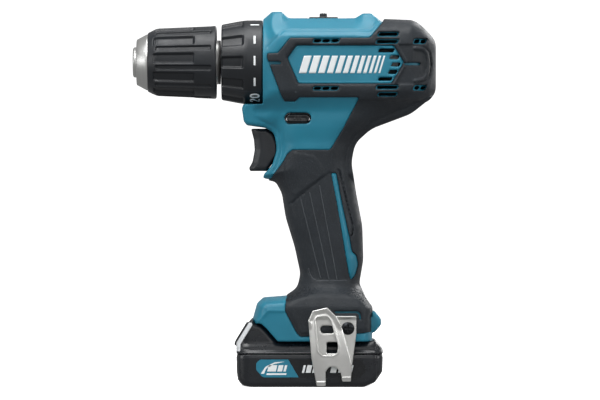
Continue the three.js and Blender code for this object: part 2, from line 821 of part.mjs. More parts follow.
// ---------------------------------------------------------------- belt clip
function addBeltClip() {
  const front = [
    [2.3, 44.9],
    [6, 46.6],
    [10.8, 46.8],
    [16.6, 41.1],
    [19.6, 32.5],
    [24.8, 14.7],
    [24.4, 3.7],
    [19.2, 3.7],
    [18.2, 8.5],
    [13.9, 12.4],
    [9.6, 10.1],
    [10, 1],
    [4.5, 1],
    [1.4, 9],
    [0, 21.2],
    [-0.6, 38.6],
  ];
  const slot = [
    [4, 41.4],
    [11.8, 41.4],
    [16.6, 18.4],
    [6.4, 18.4],
  ];
  const back = [
    [2.5, 41.5],
    [27.6, 41.5],
    [27.6, 32.6],
    [24.8, 14.7],
    [24.4, 3.7],
    [19.2, 3.7],
    [18.2, 8.5],
    [13.9, 12.4],
    [9.6, 10.1],
    [10, 1],
    [4.5, 1],
    [1.4, 9],
    [0, 21.2],
    [0.4, 36],
  ];
  const oval = roundRect(6.8, 14.7, 31.6, 35.8, 2);
  const square = roundRect(10.4, 16.5, 20, 26.2, 0.6, 1);
  const backFar = CLIP_BACK_Y - CLIP_SHEET;
  const frontNear = backFar - CLIP_GAP;
  const outerY = frontNear - CLIP_SHEET;
  const holes = [oval, square].map((o) => sideways(o, backFar - 1, CLIP_BACK_Y + 1));
  const plates = join(
    cut(sideways(back, backFar, CLIP_BACK_Y), ...holes),
    cut(sideways(front, outerY, frontNear), sideways(slot, outerY - 1, frontNear + 1)),
    box(4.8, 9.9, outerY, CLIP_BACK_Y, 1, 1 + CLIP_SHEET),
    box(19.3, 24.3, outerY, CLIP_BACK_Y, 3.7, 3.7 + CLIP_SHEET),
  );
  part("belt_clip", cut(plates, crossBar(...CLIP_SCREW, -34, -28, 1.9)), steel);
  const seat = backFar - GAP;
  const shank = crossBar(...CLIP_SCREW, seat - 0.5, -22.6, 1.5, 12);
  part("clip_screw", join(shank, crossBar(...CLIP_SCREW, seat - 2.2, seat, 3.7, 20)), blackSteel);
}

// ---------------------------------------------------------------- battery
const PACK_OUTLINE = [
  [-36, 0],
  [34, 0],
  [37, 2.1],
  [41.2, 5.6],
  [43.2, 9.1],
  [43.2, 21],
  [41.7, 23.8],
  [39.5, 26],
  [-18.7, 26],
  [-25.1, 33.6],
  [-27.9, 36.3],
  [-31.4, 37],
  [-33.1, 40],
  [-35.3, 37.3],
  [-42.6, 26.8],
  [-42.6, 5.6],
  [-40, 2.1],
];

const TERMINALS = [-9, -3, 3, 9];

function addBattery() {
  const room = box(CELL_FRONT - 0.6, 32.8, -26.9, 26.9, 1.7, PACK_SPLIT + 1.1);
  const whole = cut(sideways(PACK_OUTLINE, -PACK_HALF, PACK_HALF, { bevel: 2.5 }), room);
  part("battery_case_lower", whole.intersect(box(-60, 60, -40, 40, -1, PACK_SPLIT)), packPlastic);
  const lid = whole.intersect(box(-60, 60, -40, 40, PACK_SPLIT + GAP, 60));
  const rail = join(box(-24, 25.2, -16.5, 16.5, 25, 31), box(-24, 25.2, -20, 20, 31, 36.4));
  const slots = TERMINALS.map((y) => box(12.5, 27, y - 0.8, y + 0.8, 31.6, 38));
  const latchRoom = box(-46, -37.2, -11.4, 11.4, 21.5, 42);
  part("battery_case_upper", cut(join(lid, rail), latchRoom, ...slots), packPlastic);
  const latch = [[-42.2, 24.4], [-37.6, 24.4], [-37.6, 33.6], [-42.2, 27]];
  part("latch_button", sideways(latch, -11, 11, { bevel: 0.6 }), blackPlastic);
  [-1, 0, 1].forEach((k, i) => {
    const cell = ring(CELL_FRONT, CELL_FRONT + CELL_LENGTH, 0, CELL_R, 20, CELL_Z, k * CELL_PITCH);
    part(`cell_${i + 1}`, cell, cellWrap);
  });
}

function addTerminalBlock() {
  const blades = TERMINALS.map((y) => box(14, 27, y - 0.4, y + 0.4, 32, 36));
  part("terminal_block", join(box(26, 31.6, -15, 15, 31.2, 37.2), ...blades), brass);
}

addHousing();
addHousingScrews();
addChuck();
addClutch();
addGearbox();
addMotor();
addControls();
addBeltClip();
addTerminalBlock();
addBattery();

export default drill;
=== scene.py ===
"""Cordless drill driver in Blender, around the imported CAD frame.

Lengths in this file are millimetres in the frame's axes (chuck towards -X, belt clip on -Y, +Z up) and
are scaled to metres where a mesh is made. Moulded pieces are solid fields, negative inside, sampled on a
grid and turned into quads. Turned pieces are profiles swept round the drive axis. The gearbox and motor
keep their CAD shapes.
"""

import json
import math

import bmesh
import bpy
import numpy as np
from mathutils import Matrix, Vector


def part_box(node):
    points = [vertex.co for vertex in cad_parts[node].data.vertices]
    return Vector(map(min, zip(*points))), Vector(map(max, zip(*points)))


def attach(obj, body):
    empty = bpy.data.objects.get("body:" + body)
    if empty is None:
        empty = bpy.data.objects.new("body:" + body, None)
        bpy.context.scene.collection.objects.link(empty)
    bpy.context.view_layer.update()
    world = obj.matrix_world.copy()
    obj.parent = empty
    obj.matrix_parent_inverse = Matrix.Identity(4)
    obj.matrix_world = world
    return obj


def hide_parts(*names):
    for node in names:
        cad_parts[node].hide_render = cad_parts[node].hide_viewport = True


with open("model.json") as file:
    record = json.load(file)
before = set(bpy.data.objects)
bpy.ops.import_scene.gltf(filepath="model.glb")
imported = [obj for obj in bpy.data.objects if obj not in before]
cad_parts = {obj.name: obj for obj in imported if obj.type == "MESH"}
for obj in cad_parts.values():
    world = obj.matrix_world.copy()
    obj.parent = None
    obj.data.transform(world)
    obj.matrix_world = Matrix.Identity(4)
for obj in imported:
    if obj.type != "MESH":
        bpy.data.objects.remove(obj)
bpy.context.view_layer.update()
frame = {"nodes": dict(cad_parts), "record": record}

MM = 0.001
AXIS_Z = 190.0  # drive axis
BODY_STEP = 0.55  # sampling of the housing
FINE_STEP = 0.35  # sampling of small pieces
DETAIL_STEP = 0.3  # sampling of the grooves in turned pieces
FILLET_POINTS = 6
RELAX_ROUNDS = 2
UNDERSIDE_Z = 26.6  # underside of the foot
CLIP_SCREW_X, CLIP_SCREW_Z = 22.6, 34.4
WALL = 2.6  # thickness of the housing
SHADE_SHEET_GAP = 2.6  # from the housing's inner face to the middle of the dark sheet behind its vents, which paints the shade inside them
SHADE_SHEET_THICK = 1.0
FOOT_TOP_Z = 53  # the housing is solid below this
SKIN_FLOOR = 1.0  # how far the housing drops under the rubber
SKIN_PROUD = 0.45  # how far the rubber stands out of the housing
SPLIT = 0.12  # half the gap along the parting line
TONGUE = 0.6  # how far the left half's tongue laps into the right half
TONGUE_DEPTH, GROOVE_DEPTH = 1.4, 1.3  # how deep in the wall the tongue and its groove start
SIDES = ((-1, "left"), (1, "right"))  # the belt clip is on the left

# ------------------------------------------------------------------ fields


def smooth(low, high, value):
    """A soft step from 0 at low to 1 at high. With low above high it falls instead."""
    t = np.clip((value - low) / (high - low), 0, 1)
    return t * t * (3 - 2 * t)


def side_view(x, z):
    """The grids of X and Z on one slice of a volume, for what doesn't change along Y."""
    return x[:, 0, :] + 0 * z[0, :, :], z[0, :, :] + 0 * x[:, 0, :]


def extruded(points, x, z):
    """Signed distance from an outline of the side view, the same for every Y."""
    return outline(points, *side_view(x, z))[:, None, :]


def both(field, *others):
    """What the fields have in common."""
    for other in others:
        field = np.maximum(field, other)
    return field


def either(field, *others):
    """The fields joined."""
    for other in others:
        field = np.minimum(field, other)
    return field


def round_max(a, b, r):
    """What a and b have in common, its outer edge rounded by r."""
    corner = np.hypot(np.maximum(a + r, 0), np.maximum(b + r, 0))
    return np.minimum(np.maximum(a, b), -r) + corner


def filleted(corners):
    """A closed outline from corners (u, v, radius), each rounded by its radius."""
    pts = np.array([c[:2] for c in corners], float)
    out = []
    for i, (_, _, radius) in enumerate(corners):
        here, before, after = pts[i], pts[i - 1], pts[(i + 1) % len(pts)]
        a, b = before - here, after - here
        la, lb = np.linalg.norm(a), np.linalg.norm(b)
        half = math.acos(np.clip(a @ b / (la * lb), -1, 1)) / 2
        back = min(radius / math.tan(max(half, 0.01)), 0.49 * la, 0.49 * lb)
        if back < 1e-3:
            out.append(here)
            continue
        p, q = here + a / la * back, here + b / lb * back
        for t in np.linspace(0, 1, FILLET_POINTS):
            out.append((1 - t) ** 2 * p + 2 * t * (1 - t) * here + t * t * q)
    return np.array(out)


def outline(points, u, v):
    """Signed distance from a closed outline, negative inside."""
    shape = np.broadcast(u, v).shape
    nearest = np.full(shape, 1e9, np.float32)
    inside = np.zeros(shape, bool)
    for (u0, v0), (u1, v1) in zip(points, np.roll(points, -1, axis=0)):
        eu, ev = u1 - u0, v1 - v0
        length = eu * eu + ev * ev
        if length < 1e-9:
            continue
        t = np.clip(((u - u0) * eu + (v - v0) * ev) / length, 0, 1)
        nearest = np.minimum(nearest, (u - u0 - eu * t) ** 2 + (v - v0 - ev * t) ** 2)
        if abs(ev) > 1e-9:
            level = (v >= min(v0, v1)) & (v < max(v0, v1))
            inside ^= level & (u < u0 + eu * (v - v0) / ev)
    return np.where(inside, -1, 1) * np.sqrt(nearest)


def beyond(value, low, high):
    """How far a value is outside a range, negative inside."""
    return np.abs(value - (low + high) / 2) - (high - low) / 2


def rounded_rect(u, v, u0, u1, v0, v1, r):
    """Signed distance from a rectangle with corners rounded by r."""
    du = beyond(u, u0, u1) + r
    dv = beyond(v, v0, v1) + r
    return np.hypot(np.maximum(du, 0), np.maximum(dv, 0)) + np.minimum(np.maximum(du, dv), 0) - r


def stroke(u, v, points):
    """Distance from an open line through points."""
    nearest = np.full(np.broadcast(u, v).shape, 1e9, np.float32)
    for (u0, v0), (u1, v1) in zip(points[:-1], points[1:]):
        eu, ev = u1 - u0, v1 - v0
        t = np.clip(((u - u0) * eu + (v - v0) * ev) / (eu * eu + ev * ev), 0, 1)
        nearest = np.minimum(nearest, np.hypot(u - u0 - eu * t, v - v0 - ev * t))
    return nearest


def box_field(x, y, z, x0, x1, y0, y1, z0, z1):
    """A sharp-edged box."""
    return both(beyond(x, x0, x1), beyond(y, y0, y1), beyond(z, z0, z1))


def comb(value, pitch, half):
    """1 on lines a pitch apart, falling to 0 at half a line's width."""
    return smooth(half, 0.15, np.abs((value / pitch + 0.5) % 1 - 0.5) * pitch)


def grid(low, high, step):
    """Three axes of sample points that cover a box, shaped so that they broadcast to its volume."""
    x, y, z = (np.arange(a - step, b + 2 * step, step, dtype=np.float32) for a, b in zip(low, high))
    return x[:, None, None], y[None, :, None], z[None, None, :]


# ------------------------------------------------------------------ meshes


def surface(field, x, y, z):
    """Vertices and quads of the field's zero surface: one vertex in each cell the surface crosses."""
    field = field.copy()
    # The solid ends at the grid's border.
    for edge in (np.s_[0], np.s_[-1], np.s_[:, 0], np.s_[:, -1], np.s_[:, :, 0], np.s_[:, :, -1]):
        field[edge] = np.maximum(field[edge], 0.01)
    inside = field < 0
    nx, ny, nz = field.shape
    corners = np.array([(i, j, k) for i in (0, 1) for j in (0, 1) for k in (0, 1)])
    count = sum(
        inside[i : nx - 1 + i, j : ny - 1 + j, k : nz - 1 + k].astype(np.int8) for i, j, k in corners
    )
    active = (count > 0) & (count < 8)
    cells = np.argwhere(active)
    start = cells @ np.array([ny * nz, nz, 1])
    values = field.ravel()[start[:, None] + corners @ np.array([ny * nz, nz, 1])]
    # A cell's vertex is the mean of the points where its twelve edges cross the surface.
    total = np.zeros((len(cells), 3))
    crossings = np.zeros((len(cells), 1))
    for a in range(8):
        for b in range(a + 1, 8):
            if np.abs(corners[a] - corners[b]).sum() != 1:
                continue
            fa, fb = values[:, a], values[:, b]
            crossed = (fa < 0) != (fb < 0)
            t = np.where(crossed, fa / np.where(crossed, fa - fb, 1), 0)[:, None]
            total += np.where(crossed[:, None], corners[a] + (corners[b] - corners[a]) * t, 0)
            crossings += crossed[:, None]
    step = float(x[1, 0, 0] - x[0, 0, 0])
    origin = np.array([x[0, 0, 0], y[0, 0, 0], z[0, 0, 0]], float)
    vertices = origin + (cells + total / crossings) * step
    # Four cells share each edge of the grid, and a quad joins them where it crosses the surface.
    number = np.full(active.shape, -1, np.int64)
    number[active] = np.arange(len(cells))
    quads = []
    for axis in range(3):
        p, q = [(1, 2), (2, 0), (0, 1)][axis]
        low = np.take(inside, range(field.shape[axis] - 1), axis)
        high = np.take(inside, range(1, field.shape[axis]), axis)
        at = np.argwhere(low != high)
        solid_low = low[tuple(at.T)]
        ring = []
        for dp, dq in ((-1, -1), (0, -1), (0, 0), (-1, 0)):
            cell = at.copy()
            cell[:, p] += dp
            cell[:, q] += dq
            ring.append(number[tuple(cell.T)])
        ring = np.stack(ring, 1)
        ring[~solid_low] = ring[~solid_low][:, ::-1]
        quads.append(ring)
    quads = np.concatenate(quads)
    return relaxed(vertices, quads), quads


def relaxed(vertices, quads):
    """Moves each vertex half way to the middle of its neighbours, to take out the grid's steps."""
    count = len(vertices)
    degree = np.bincount(quads.ravel(), minlength=count)[:, None]
    for _ in range(RELAX_ROUNDS):
        total = np.zeros_like(vertices)
        for k in range(4):
            near = vertices[quads[:, (k + 1) % 4]]
            for i in range(3):
                total[:, i] += np.bincount(quads[:, k], near[:, i], count)
        vertices = (vertices + total / degree) / 2
    return vertices


def linked(name, data):
    """A new object in the scene that holds the data."""
    obj = bpy.data.objects.new(name, data)
    bpy.context.scene.collection.objects.link(obj)
    return obj


def plain_mesh(name, vertices, faces, look):
    """A flat-shaded mesh from vertices in millimetres and faces of any size."""
    mesh = bpy.data.meshes.new(name)
    mesh.from_pydata([tuple(c * MM for c in v) for v in vertices], [], faces)
    mesh.materials.append(MATERIAL[look])
    return mesh


def make_object(name, vertices, faces, look):
    """A smooth-shaded object from vertices in millimetres and faces of one size."""
    mesh = bpy.data.meshes.new(name)
    faces = np.asarray(faces)
    size = faces.shape[1]
    mesh.vertices.add(len(vertices))
    mesh.vertices.foreach_set("co", (np.asarray(vertices) * MM).astype(np.float32).ravel())
    mesh.loops.add(faces.size)
    mesh.loops.foreach_set("vertex_index", faces.astype(np.int32).ravel())
    mesh.polygons.add(len(faces))
    mesh.polygons.foreach_set("loop_start", np.arange(0, faces.size, size, dtype=np.int32))
    mesh.polygons.foreach_set("loop_total", np.full(len(faces), size, np.int32))
    mesh.polygons.foreach_set("use_smooth", np.ones(len(faces), bool))
    mesh.update()
    mesh.validate()
    mesh.materials.append(MATERIAL[look])
    return linked(name, mesh)


def settle(obj, body, slot_name, *nodes):
    """Rides obj on its body and hides the CAD nodes it stands for; slot_name is not used."""
    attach(obj, body)
    if nodes:
        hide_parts(*nodes)


def moulded(name, field, axes, body, slot_name, *nodes, look=None):
    """A piece with the field's surface, in its slot's look unless another is given."""
    vertices, quads = surface(field.astype(np.float32), *axes)
    obj = make_object(name, vertices, quads, look or slot_name)
    settle(obj, body, slot_name, *nodes)


def turned(name, profile, body, slot_name, *nodes, detail=None):
    """A piece that is a closed profile of (x, r, cut) swept round the drive axis.

    detail(x, angle) is a depth taken off where cut is 1; angles run from -Y at 0 to +Z at 90 degrees.
    """
    segments = 180 if detail is None else 540
    stations = []
    for (x0, r0, cut0), (x1, r1, cut1) in zip(profile, profile[1:] + profile[:1]):
        cuts = detail is not None and cut0 and cut1
        parts = max(1, math.ceil(math.hypot(x1 - x0, r1 - r0) / DETAIL_STEP)) if cuts else 1
        for t in np.arange(parts) / parts:
            stations.append((x0 + (x1 - x0) * t, r0 + (r1 - r0) * t, cuts or cut0))
    xs, rs, cut = (np.array(c, float)[:, None] for c in zip(*stations))
    angle = np.linspace(0, 2 * math.pi, segments, endpoint=False)[None, :]
    radius = rs + 0 * angle
    if detail is not None:
        radius = radius - detail(xs, np.degrees(angle)) * cut
    points = np.stack([xs + 0 * angle, -radius * np.cos(angle), AXIS_Z + radius * np.sin(angle)], -1)
    rows, cols = len(stations), segments
    a = np.arange(rows)[:, None] * cols + np.arange(cols)[None, :]
    b = np.roll(a, -1, axis=1)
    quads = np.stack([a, np.roll(a, -1, axis=0), np.roll(b, -1, axis=0), b], -1).reshape(-1, 4)
    obj = make_object(name, points.reshape(-1, 3), quads, slot_name)
    settle(obj, body, slot_name, *nodes)


# ------------------------------------------------------------------ materials


def linear(screen_colour):
    """A linear colour from 0-255 screen values."""
    screen = np.array(screen_colour) / 255
    light = np.where(screen > 0.04, ((screen + 0.055) / 1.055) ** 2.4, screen / 12.92)
    return *(float(c) for c in light), 1.0


def set_range(node, *numbers):
    """Sets a Map Range node's two ranges."""
    for key, number in zip(("From Min", "From Max", "To Min", "To Max"), numbers):
        node.inputs[key].default_value = number


class Finish:
    """A Principled material whose colour, roughness and bump come from noise in object space."""

    def __init__(self, name, base, roughness, metallic=0.0, ior=1.5):
        self.material = bpy.data.materials.new(name)
        self.material.use_nodes = True
        self.nodes = self.material.node_tree.nodes
        self.links = self.material.node_tree.links
        self.shader = self.nodes["Principled BSDF"]
        self.base = linear(base)
        self.shader.inputs["Base Color"].default_value = self.base
        self.shader.inputs["Roughness"].default_value = roughness
        self.shader.inputs["Metallic"].default_value = metallic
        self.shader.inputs["IOR"].default_value = ior
        self.space = self.nodes.new("ShaderNodeTexCoord").outputs["Object"]

    def stretched(self, scale):
        mapping = self.nodes.new("ShaderNodeMapping")
        mapping.inputs["Scale"].default_value = scale
        self.links.new(self.space, mapping.inputs["Vector"])
        return mapping.outputs["Vector"]

    def noise(self, scale, detail, stretch=None, roughness=0.5):
        node = self.nodes.new("ShaderNodeTexNoise")
        node.inputs["Scale"].default_value = scale
        node.inputs["Detail"].default_value = detail
        node.inputs["Roughness"].default_value = roughness
        self.links.new(self.stretched(stretch) if stretch else self.space, node.inputs["Vector"])
        return node.outputs["Fac"]

    def ranged(self, value, low, high, to_low, to_high):
        node = self.nodes.new("ShaderNodeMapRange")
        set_range(node, low, high, to_low, to_high)
        self.links.new(value, node.inputs["Value"])
        return node.outputs["Result"]

    def mottled(self, value, other, low, high):
        """Mixes the base colour towards other where value is high."""
        node = self.nodes.new("ShaderNodeMix")
        node.data_type = "RGBA"
        current = self.shader.inputs["Base Color"]
        if current.is_linked:
            self.links.new(current.links[0].from_socket, node.inputs["A"])
        else:
            node.inputs["A"].default_value = self.base
        node.inputs["B"].default_value = linear(other)
        self.links.new(self.ranged(value, low, high, 0, 1), node.inputs["Factor"])
        self.links.new(node.outputs["Result"], current)

    def varied_roughness(self, value, low, high):
        self.links.new(self.ranged(value, 0.3, 0.7, low, high), self.shader.inputs["Roughness"])

    def bumped(self, value, height_mm):
        node = self.nodes.new("ShaderNodeBump")
        node.inputs["Strength"].default_value = 1.0
        node.inputs["Distance"].default_value = height_mm * MM
        self.links.new(value, node.inputs["Height"])
        self.links.new(node.outputs["Normal"], self.shader.inputs["Normal"])

    def worn_edges(self, other, start, end):
        """Lightens convex edges, as rubbing does."""
        pointed = self.nodes.new("ShaderNodeNewGeometry").outputs["Pointiness"]
        self.mottled(pointed, other, start, end)


def plastic(name, base, light, roughness, grain_mm, grain_scale):
    """Moulded plastic with a fine spark-eroded grain, slow colour drift and slightly rubbed edges."""
    f = Finish(name, base, roughness)
    f.mottled(f.noise(45, 2), light, 0.35, 0.95)
    f.varied_roughness(f.noise(160, 3), roughness - 0.05, roughness + 0.07)
    f.bumped(f.noise(grain_scale, 2), grain_mm)
    f.worn_edges(light, 0.53, 0.62)
    return f.material


def rubber():
    base, dust = (31, 36, 41), (72, 79, 86)
    f = Finish("black_rubber", base, 0.5, ior=1.4)
    f.mottled(f.noise(60, 3), (38, 44, 50), 0.35, 0.8)
    f.mottled(f.noise(1500, 2, roughness=0.7), dust, 0.6, 0.9)
    f.varied_roughness(f.noise(220, 3), 0.42, 0.6)
    f.bumped(f.noise(1100, 3, roughness=0.7), 0.2)
    f.worn_edges(dust, 0.54, 0.7)
    return f.material


def turned_steel():
    """Bright steel with fine lathe lines round the drive axis."""
    f = Finish("chuck_steel", (190, 191, 190), 0.36, metallic=1.0)
    lines = f.noise(300, 2, stretch=(6, 0.1, 0.1))
    f.mottled(lines, (206, 206, 203), 0.35, 0.85)
    f.varied_roughness(lines, 0.36, 0.4)
    return f.material


def sheet_steel():
    """Stamped strip with a fine drawn grain and light scuffs."""
    f = Finish("clip_steel", (238, 238, 235), 0.32, metallic=1.0)
    f.mottled(f.noise(90, 3), (220, 220, 217), 0.3, 0.75)
    f.varied_roughness(f.noise(140, 4), 0.26, 0.4)
    f.bumped(f.noise(2600, 2, stretch=(2.5, 1, 0.3)), 0.003)
    f.worn_edges((226, 226, 222), 0.52, 0.6)
    return f.material


def plain_metal(name, base, roughness, darker):
    f = Finish(name, base, roughness, metallic=1.0)
    f.mottled(f.noise(300, 4), darker, 0.4, 0.8)
    f.varied_roughness(f.noise(420, 3), roughness - 0.08, roughness + 0.12)
    f.bumped(f.noise(1400, 3), 0.02)
    return f.material


def pack_plastic():
    f = Finish("pack_plastic", (17, 21, 26), 0.3)
    f.mottled(f.noise(70, 3), (25, 29, 35), 0.35, 0.85)
    f.varied_roughness(f.noise(300, 3), 0.25, 0.36)
    f.bumped(f.noise(2200, 2), 0.012)
    return f.material


# Plastics: screen colours of the base and of lighter places, roughness, grain's depth in mm and scale.
PLASTICS = {
    "teal_plastic": ((22, 116, 141), (34, 130, 155), 0.42, 0.03, 2600),
    "black_plastic": ((17, 21, 26), (31, 36, 42), 0.4, 0.03, 2000),
    "magnet": ((48, 48, 50), (70, 70, 72), 0.7, 0.06, 900),
    "lens": ((226, 228, 222), (240, 240, 236), 0.12, 0.01, 900),
    "cell_wrap": ((58, 132, 86), (84, 156, 110), 0.35, 0.02, 1200),
    # painted highlight: the grip's ribs are lighter than the rubber round them, for the light that
    # catches their edges
    "rib_highlight_rubber": ((58, 63, 68), (72, 78, 83), 0.42, 0.02, 1500),
    "white_print": ((226, 232, 234), (240, 244, 245), 0.45, 0.01, 1500),
    "label_plate": ((24, 112, 138), (34, 124, 150), 0.3, 0.01, 1800),
    "label_panel": ((15, 17, 20), (21, 24, 27), 0.16, 0.006, 1800),
    "gloss_plastic": ((12, 14, 17), (30, 33, 37), 0.2, 0.01, 1600),
    # painted highlight: the pale plastic of the strips down the pack's front corners
    "highlight_strip_plastic": ((205, 209, 212), (228, 230, 232), 0.24, 0.01, 1400),
}
# Cast and machined metals: screen colour, roughness, screen colour of darker places.
METALS = {
    "gear_steel": ((140, 142, 144), 0.38, (96, 98, 100)),
    "cast_alloy": ((168, 170, 172), 0.5, (128, 130, 132)),
    "black_steel": ((52, 54, 57), 0.36, (30, 31, 33)),
    "copper": ((196, 122, 82), 0.36, (130, 74, 48)),
    "brass": ((206, 172, 96), 0.34, (150, 118, 60)),
}
MATERIAL = {
    "black_rubber": rubber(),
    "pack_plastic": pack_plastic(),
    "chuck_steel": turned_steel(),
    "clip_steel": sheet_steel(),
}
MATERIAL |= {name: plastic(name, *look) for name, look in PLASTICS.items()}
MATERIAL |= {name: plain_metal(name, *look) for name, look in METALS.items()}

# ------------------------------------------------------------------ housing shape

SIDE_CORNERS = [
    (-60, 215.2, 0), (-27, 215.2, 0.5), (-21.8, 219.7, 1), (-16.1, 219.7, 1.5), (-11.8, 215.9, 2.5),
    (27, 215.9, 2.5), (31.6, 218.7, 1.5), (36.6, 218.7, 1.5), (42.6, 214.1, 1), (61, 213.3, 8),
    (74.1, 203.5, 9), (74.1, 171.5, 8), (60, 160.2, 22), (36.5, 151.4, 22), (26.6, 142.5, 14),
    (24.4, 131, 20), (27.4, 113, 40), (31, 94, 40), (31.6, 74, 30), (29.2, 60, 6), (33, 52.5, 5),
    (37.1, 46.5, 5), (37.1, 15, 0), (-8, 15, 0), (-17.9, 26.2, 0), (-24.8, 34.2, 1.5), (-27.8, 36.9, 2),
    (-31.1, 37.4, 1.5), (-33.1, 39.4, 1.2), (-30.5, 48.6, 2), (-26.8, 51.9, 1.5), (-13.6, 52.9, 5),
    (-6.6, 57.5, 8), (-4.7, 66, 12), (-8.2, 82, 40), (-13.4, 99, 40), (-15.6, 113, 14), (-19.2, 120, 5),
    (-23.5, 121, 2), (-27.1, 122.1, 0.8), (-26.3, 124.4, 0.6), (-21.8, 129.5, 8), (-18.7, 139, 14),
    (-20.6, 148.5, 6), (-25.8, 151.6, 5), (-36.6, 153.1, 1.5), (-38.3, 155.2, 1), (-39.4, 162.8, 1),
    (-38.4, 165.4, 0.5), (-60, 165.4, 0),
]
SIDE = filleted(SIDE_CORNERS)

# Where the foot's five underside corners start, which its walls stay square to.
UNDERSIDE = SIDE_CORNERS.index((-8, 15, 0))
ROUNDING = filleted(SIDE_CORNERS[:UNDERSIDE] + [(-33.1, 15, 0)] + SIDE_CORNERS[UNDERSIDE + 5 :])

RUBBER_EDGE = filleted([
    (-24.6, 195.4, 0.5), (-18.3, 195.7, 1), (-11.1, 204.6, 1), (35.8, 204.6, 1), (43.2, 214, 0.5),
    (50, 230, 0), (90, 230, 0), (90, 100, 0), (60, 40, 0), (37.0, 40, 0), (37.0, 31, 0.5),
    (-5.4, 28.4, 1.5), (-7.8, 31.5, 1), (-14.3, 43.8, 1), (-13.6, 54, 0), (-30, 90, 0),
    (-36, 121.2, 0), (-23.2, 121.4, 1), (-15.6, 131.6, 3), (-12.9, 136.6, 2), (-9.8, 138.9, 2),
    (12.4, 138.9, 1.5), (20, 151.4, 0), (29.4, 169.4, 0.5), (-5.6, 169.4, 0.8), (-8.1, 166.9, 0.8),
    (-14.4, 166.9, 1), (-16.2, 170, 1), (-24.9, 193, 0.5),
])
PANEL = filleted([
    (-12.4, 192.6, 0.6), (-7.3, 199.8, 0.8), (49.6, 199.8, 0.8), (55.4, 190, 0.6),
    (48.4, 177.9, 0.8), (-6.1, 177.9, 0.8),
])
STRIP = filleted([
    (13.3, 124.6, 0.4), (15.9, 124.9, 0.6), (19.3, 107, 4), (24.1, 85, 4), (25.2, 78.4, 1),
    (27.9, 76.2, 0.8), (28.8, 70.5, 2), (27.1, 65, 2), (24.6, 62.1, 0.5), (23.6, 66, 2),
    (21.9, 76.5, 3), (16.8, 107, 4),
])

# Windows through the rubber over the vents: x0, x1, z0, z1, and how many holes each is divided into.
WINDOWS = (
    (2.4, 17.8, 201.4, 204.0, 3), (2.4, 17.4, 173.5, 176.0, 3), (40.6, 52.4, 205.2, 207.9, 1),
    (39.4, 52.4, 201.0, 203.6, 1), (39.4, 52.4, 174.1, 176.6, 1), (40.4, 51.8, 170.1, 172.5, 1),
    (61.5, 69.0, 200.9, 204.0, 2), (61.5, 68.8, 173.6, 176.6, 2),
)
PANEL_VENTS = (
    (41.0, 50.3, 196.0, 198.2), (47.6, 53.0, 191.8, 194.2), (48.6, 53.6, 187.6, 189.9),
    (46.8, 51.8, 183.2, 185.6), (40.8, 48.8, 179.2, 181.2),
)
VENT_LEAN = 0.45  # how far the slots lean for each mm of height
CREASE = ((-24.6, 198.9), (-15.1, 208.9), (36.0, 208.9), (41.2, 215.0))
# The side pattern is drawn this much larger about this point.
SPREAD, SPREAD_X, SPREAD_Z = 1.0085, -5.3, 109.1


def pattern(x, z):
    """Where points of the side view fall on the pattern's drawing."""
    return SPREAD_X + (x - SPREAD_X) * SPREAD, SPREAD_Z + (z - SPREAD_Z) * SPREAD


def blended(value, *pairs):
    """Runs straight from one (at, result) pair to the next."""
    xs, ys = zip(*pairs)
    return np.interp(value, xs, ys)


def half_width(x, z):
    """The widest half width of the body at each point of its side view."""
    low = blended(
        z,
        *((26, 28.1), (46, 28.1), (49, 27.8), (52, 26.5), (54, 24.8), (56, 22.4), (58, 20.3)),
        *((60, 19.1), (63, 18.6), (97, 18.4), (121, 17.8), (143, 18.6), (152, 19.8)),
    )
    middle = blended(x, (-39, 12.6), (-30, 14.4), (-20, 17.5), (-6, 20.4), (25, 21.2), (60, 19))
    head = blended(x, (-60, 25.2), (-27, 25.2), (-14, 26.5), (46, 26.5), (60, 25.6), (70, 23), (75, 20))
    a, b = smooth(144, 157, z), smooth(160, 174, z)
    return (low * (1 - a) + middle * a) * (1 - b) + head * b


def side_round(x, z):
    """How far in from the outline the body reaches its full half width, and how square its section is."""
    foot = smooth(58, 50, z)
    head = smooth(160, 174, z)
    collar = smooth(-14, -26, x) * head
    chin = smooth(-16, -26, x) * (1 - head) * smooth(126, 140, z)
    reach = 16.5 * (1 - foot) + 7.5 * foot
    reach = reach * (1 - head) + (21.5 * (1 - collar) + 25.2 * collar) * head
    reach = reach * (1 - chin) + 7 * chin
    power = 2.25 + 0.75 * foot + 0.75 * head - 1.0 * collar
    return reach, power


def body_field(x, y, z):
    """The body without surface detail: a rounded pillow on the side outline, cut by the top's facets."""
    u, v = side_view(x, z)
    depth = -outline(SIDE, u, v)
    width = half_width(u, v)
    reach, power = side_round(u, v)
    edge = np.maximum(1 + outline(ROUNDING, u, v) / reach, 0) ** power
    edge, width, power, depth = (a[:, None, :] for a in (edge, width, power, depth))
    across = np.abs(y) / width
    field = ((edge + across**power) ** (1 / power) - 1) * width
    field = np.where((depth < -3) | ((z < 40) & (x < 0)), both(field, -depth), field)
    hump = np.maximum(blended(x, (-30, 0), (-27, 0), (-21.8, 3.9), (-16.1, 3.9), (-11.8, 0)), 0)
    hump = hump + blended(x, (27, 0), (31.6, 2.9), (36.6, 2.9), (42.6, 0))
    rise = (6.6 + hump) / 11.1
    top = (z - 209.6 - (20.6 - np.abs(y)) * rise) / np.hypot(1, rise)
    shoulder = facet(y, z, 21.0, 209.9, 26.3, 204.0)
    nose = 0.724 * (-25 - x) + 0.371 * (np.abs(y) - 22.4) + 0.581 * (z - 207.8)
    field = np.where(x > -27, both(field, top, shoulder, nose), field)
    blunt = blended(z, (116, 2), (121.5, 9), (124, 11.8), (150, 12.6), (153, 13.4), (165.4, 14.5))
    front = round_max(-depth, np.abs(y) - blunt, 2.2)
    field = np.where((z > 116) & (z < 170), either(field, front), field)
    return both(field, either(z - 165.2, -27 - x), UNDERSIDE_Z - z)


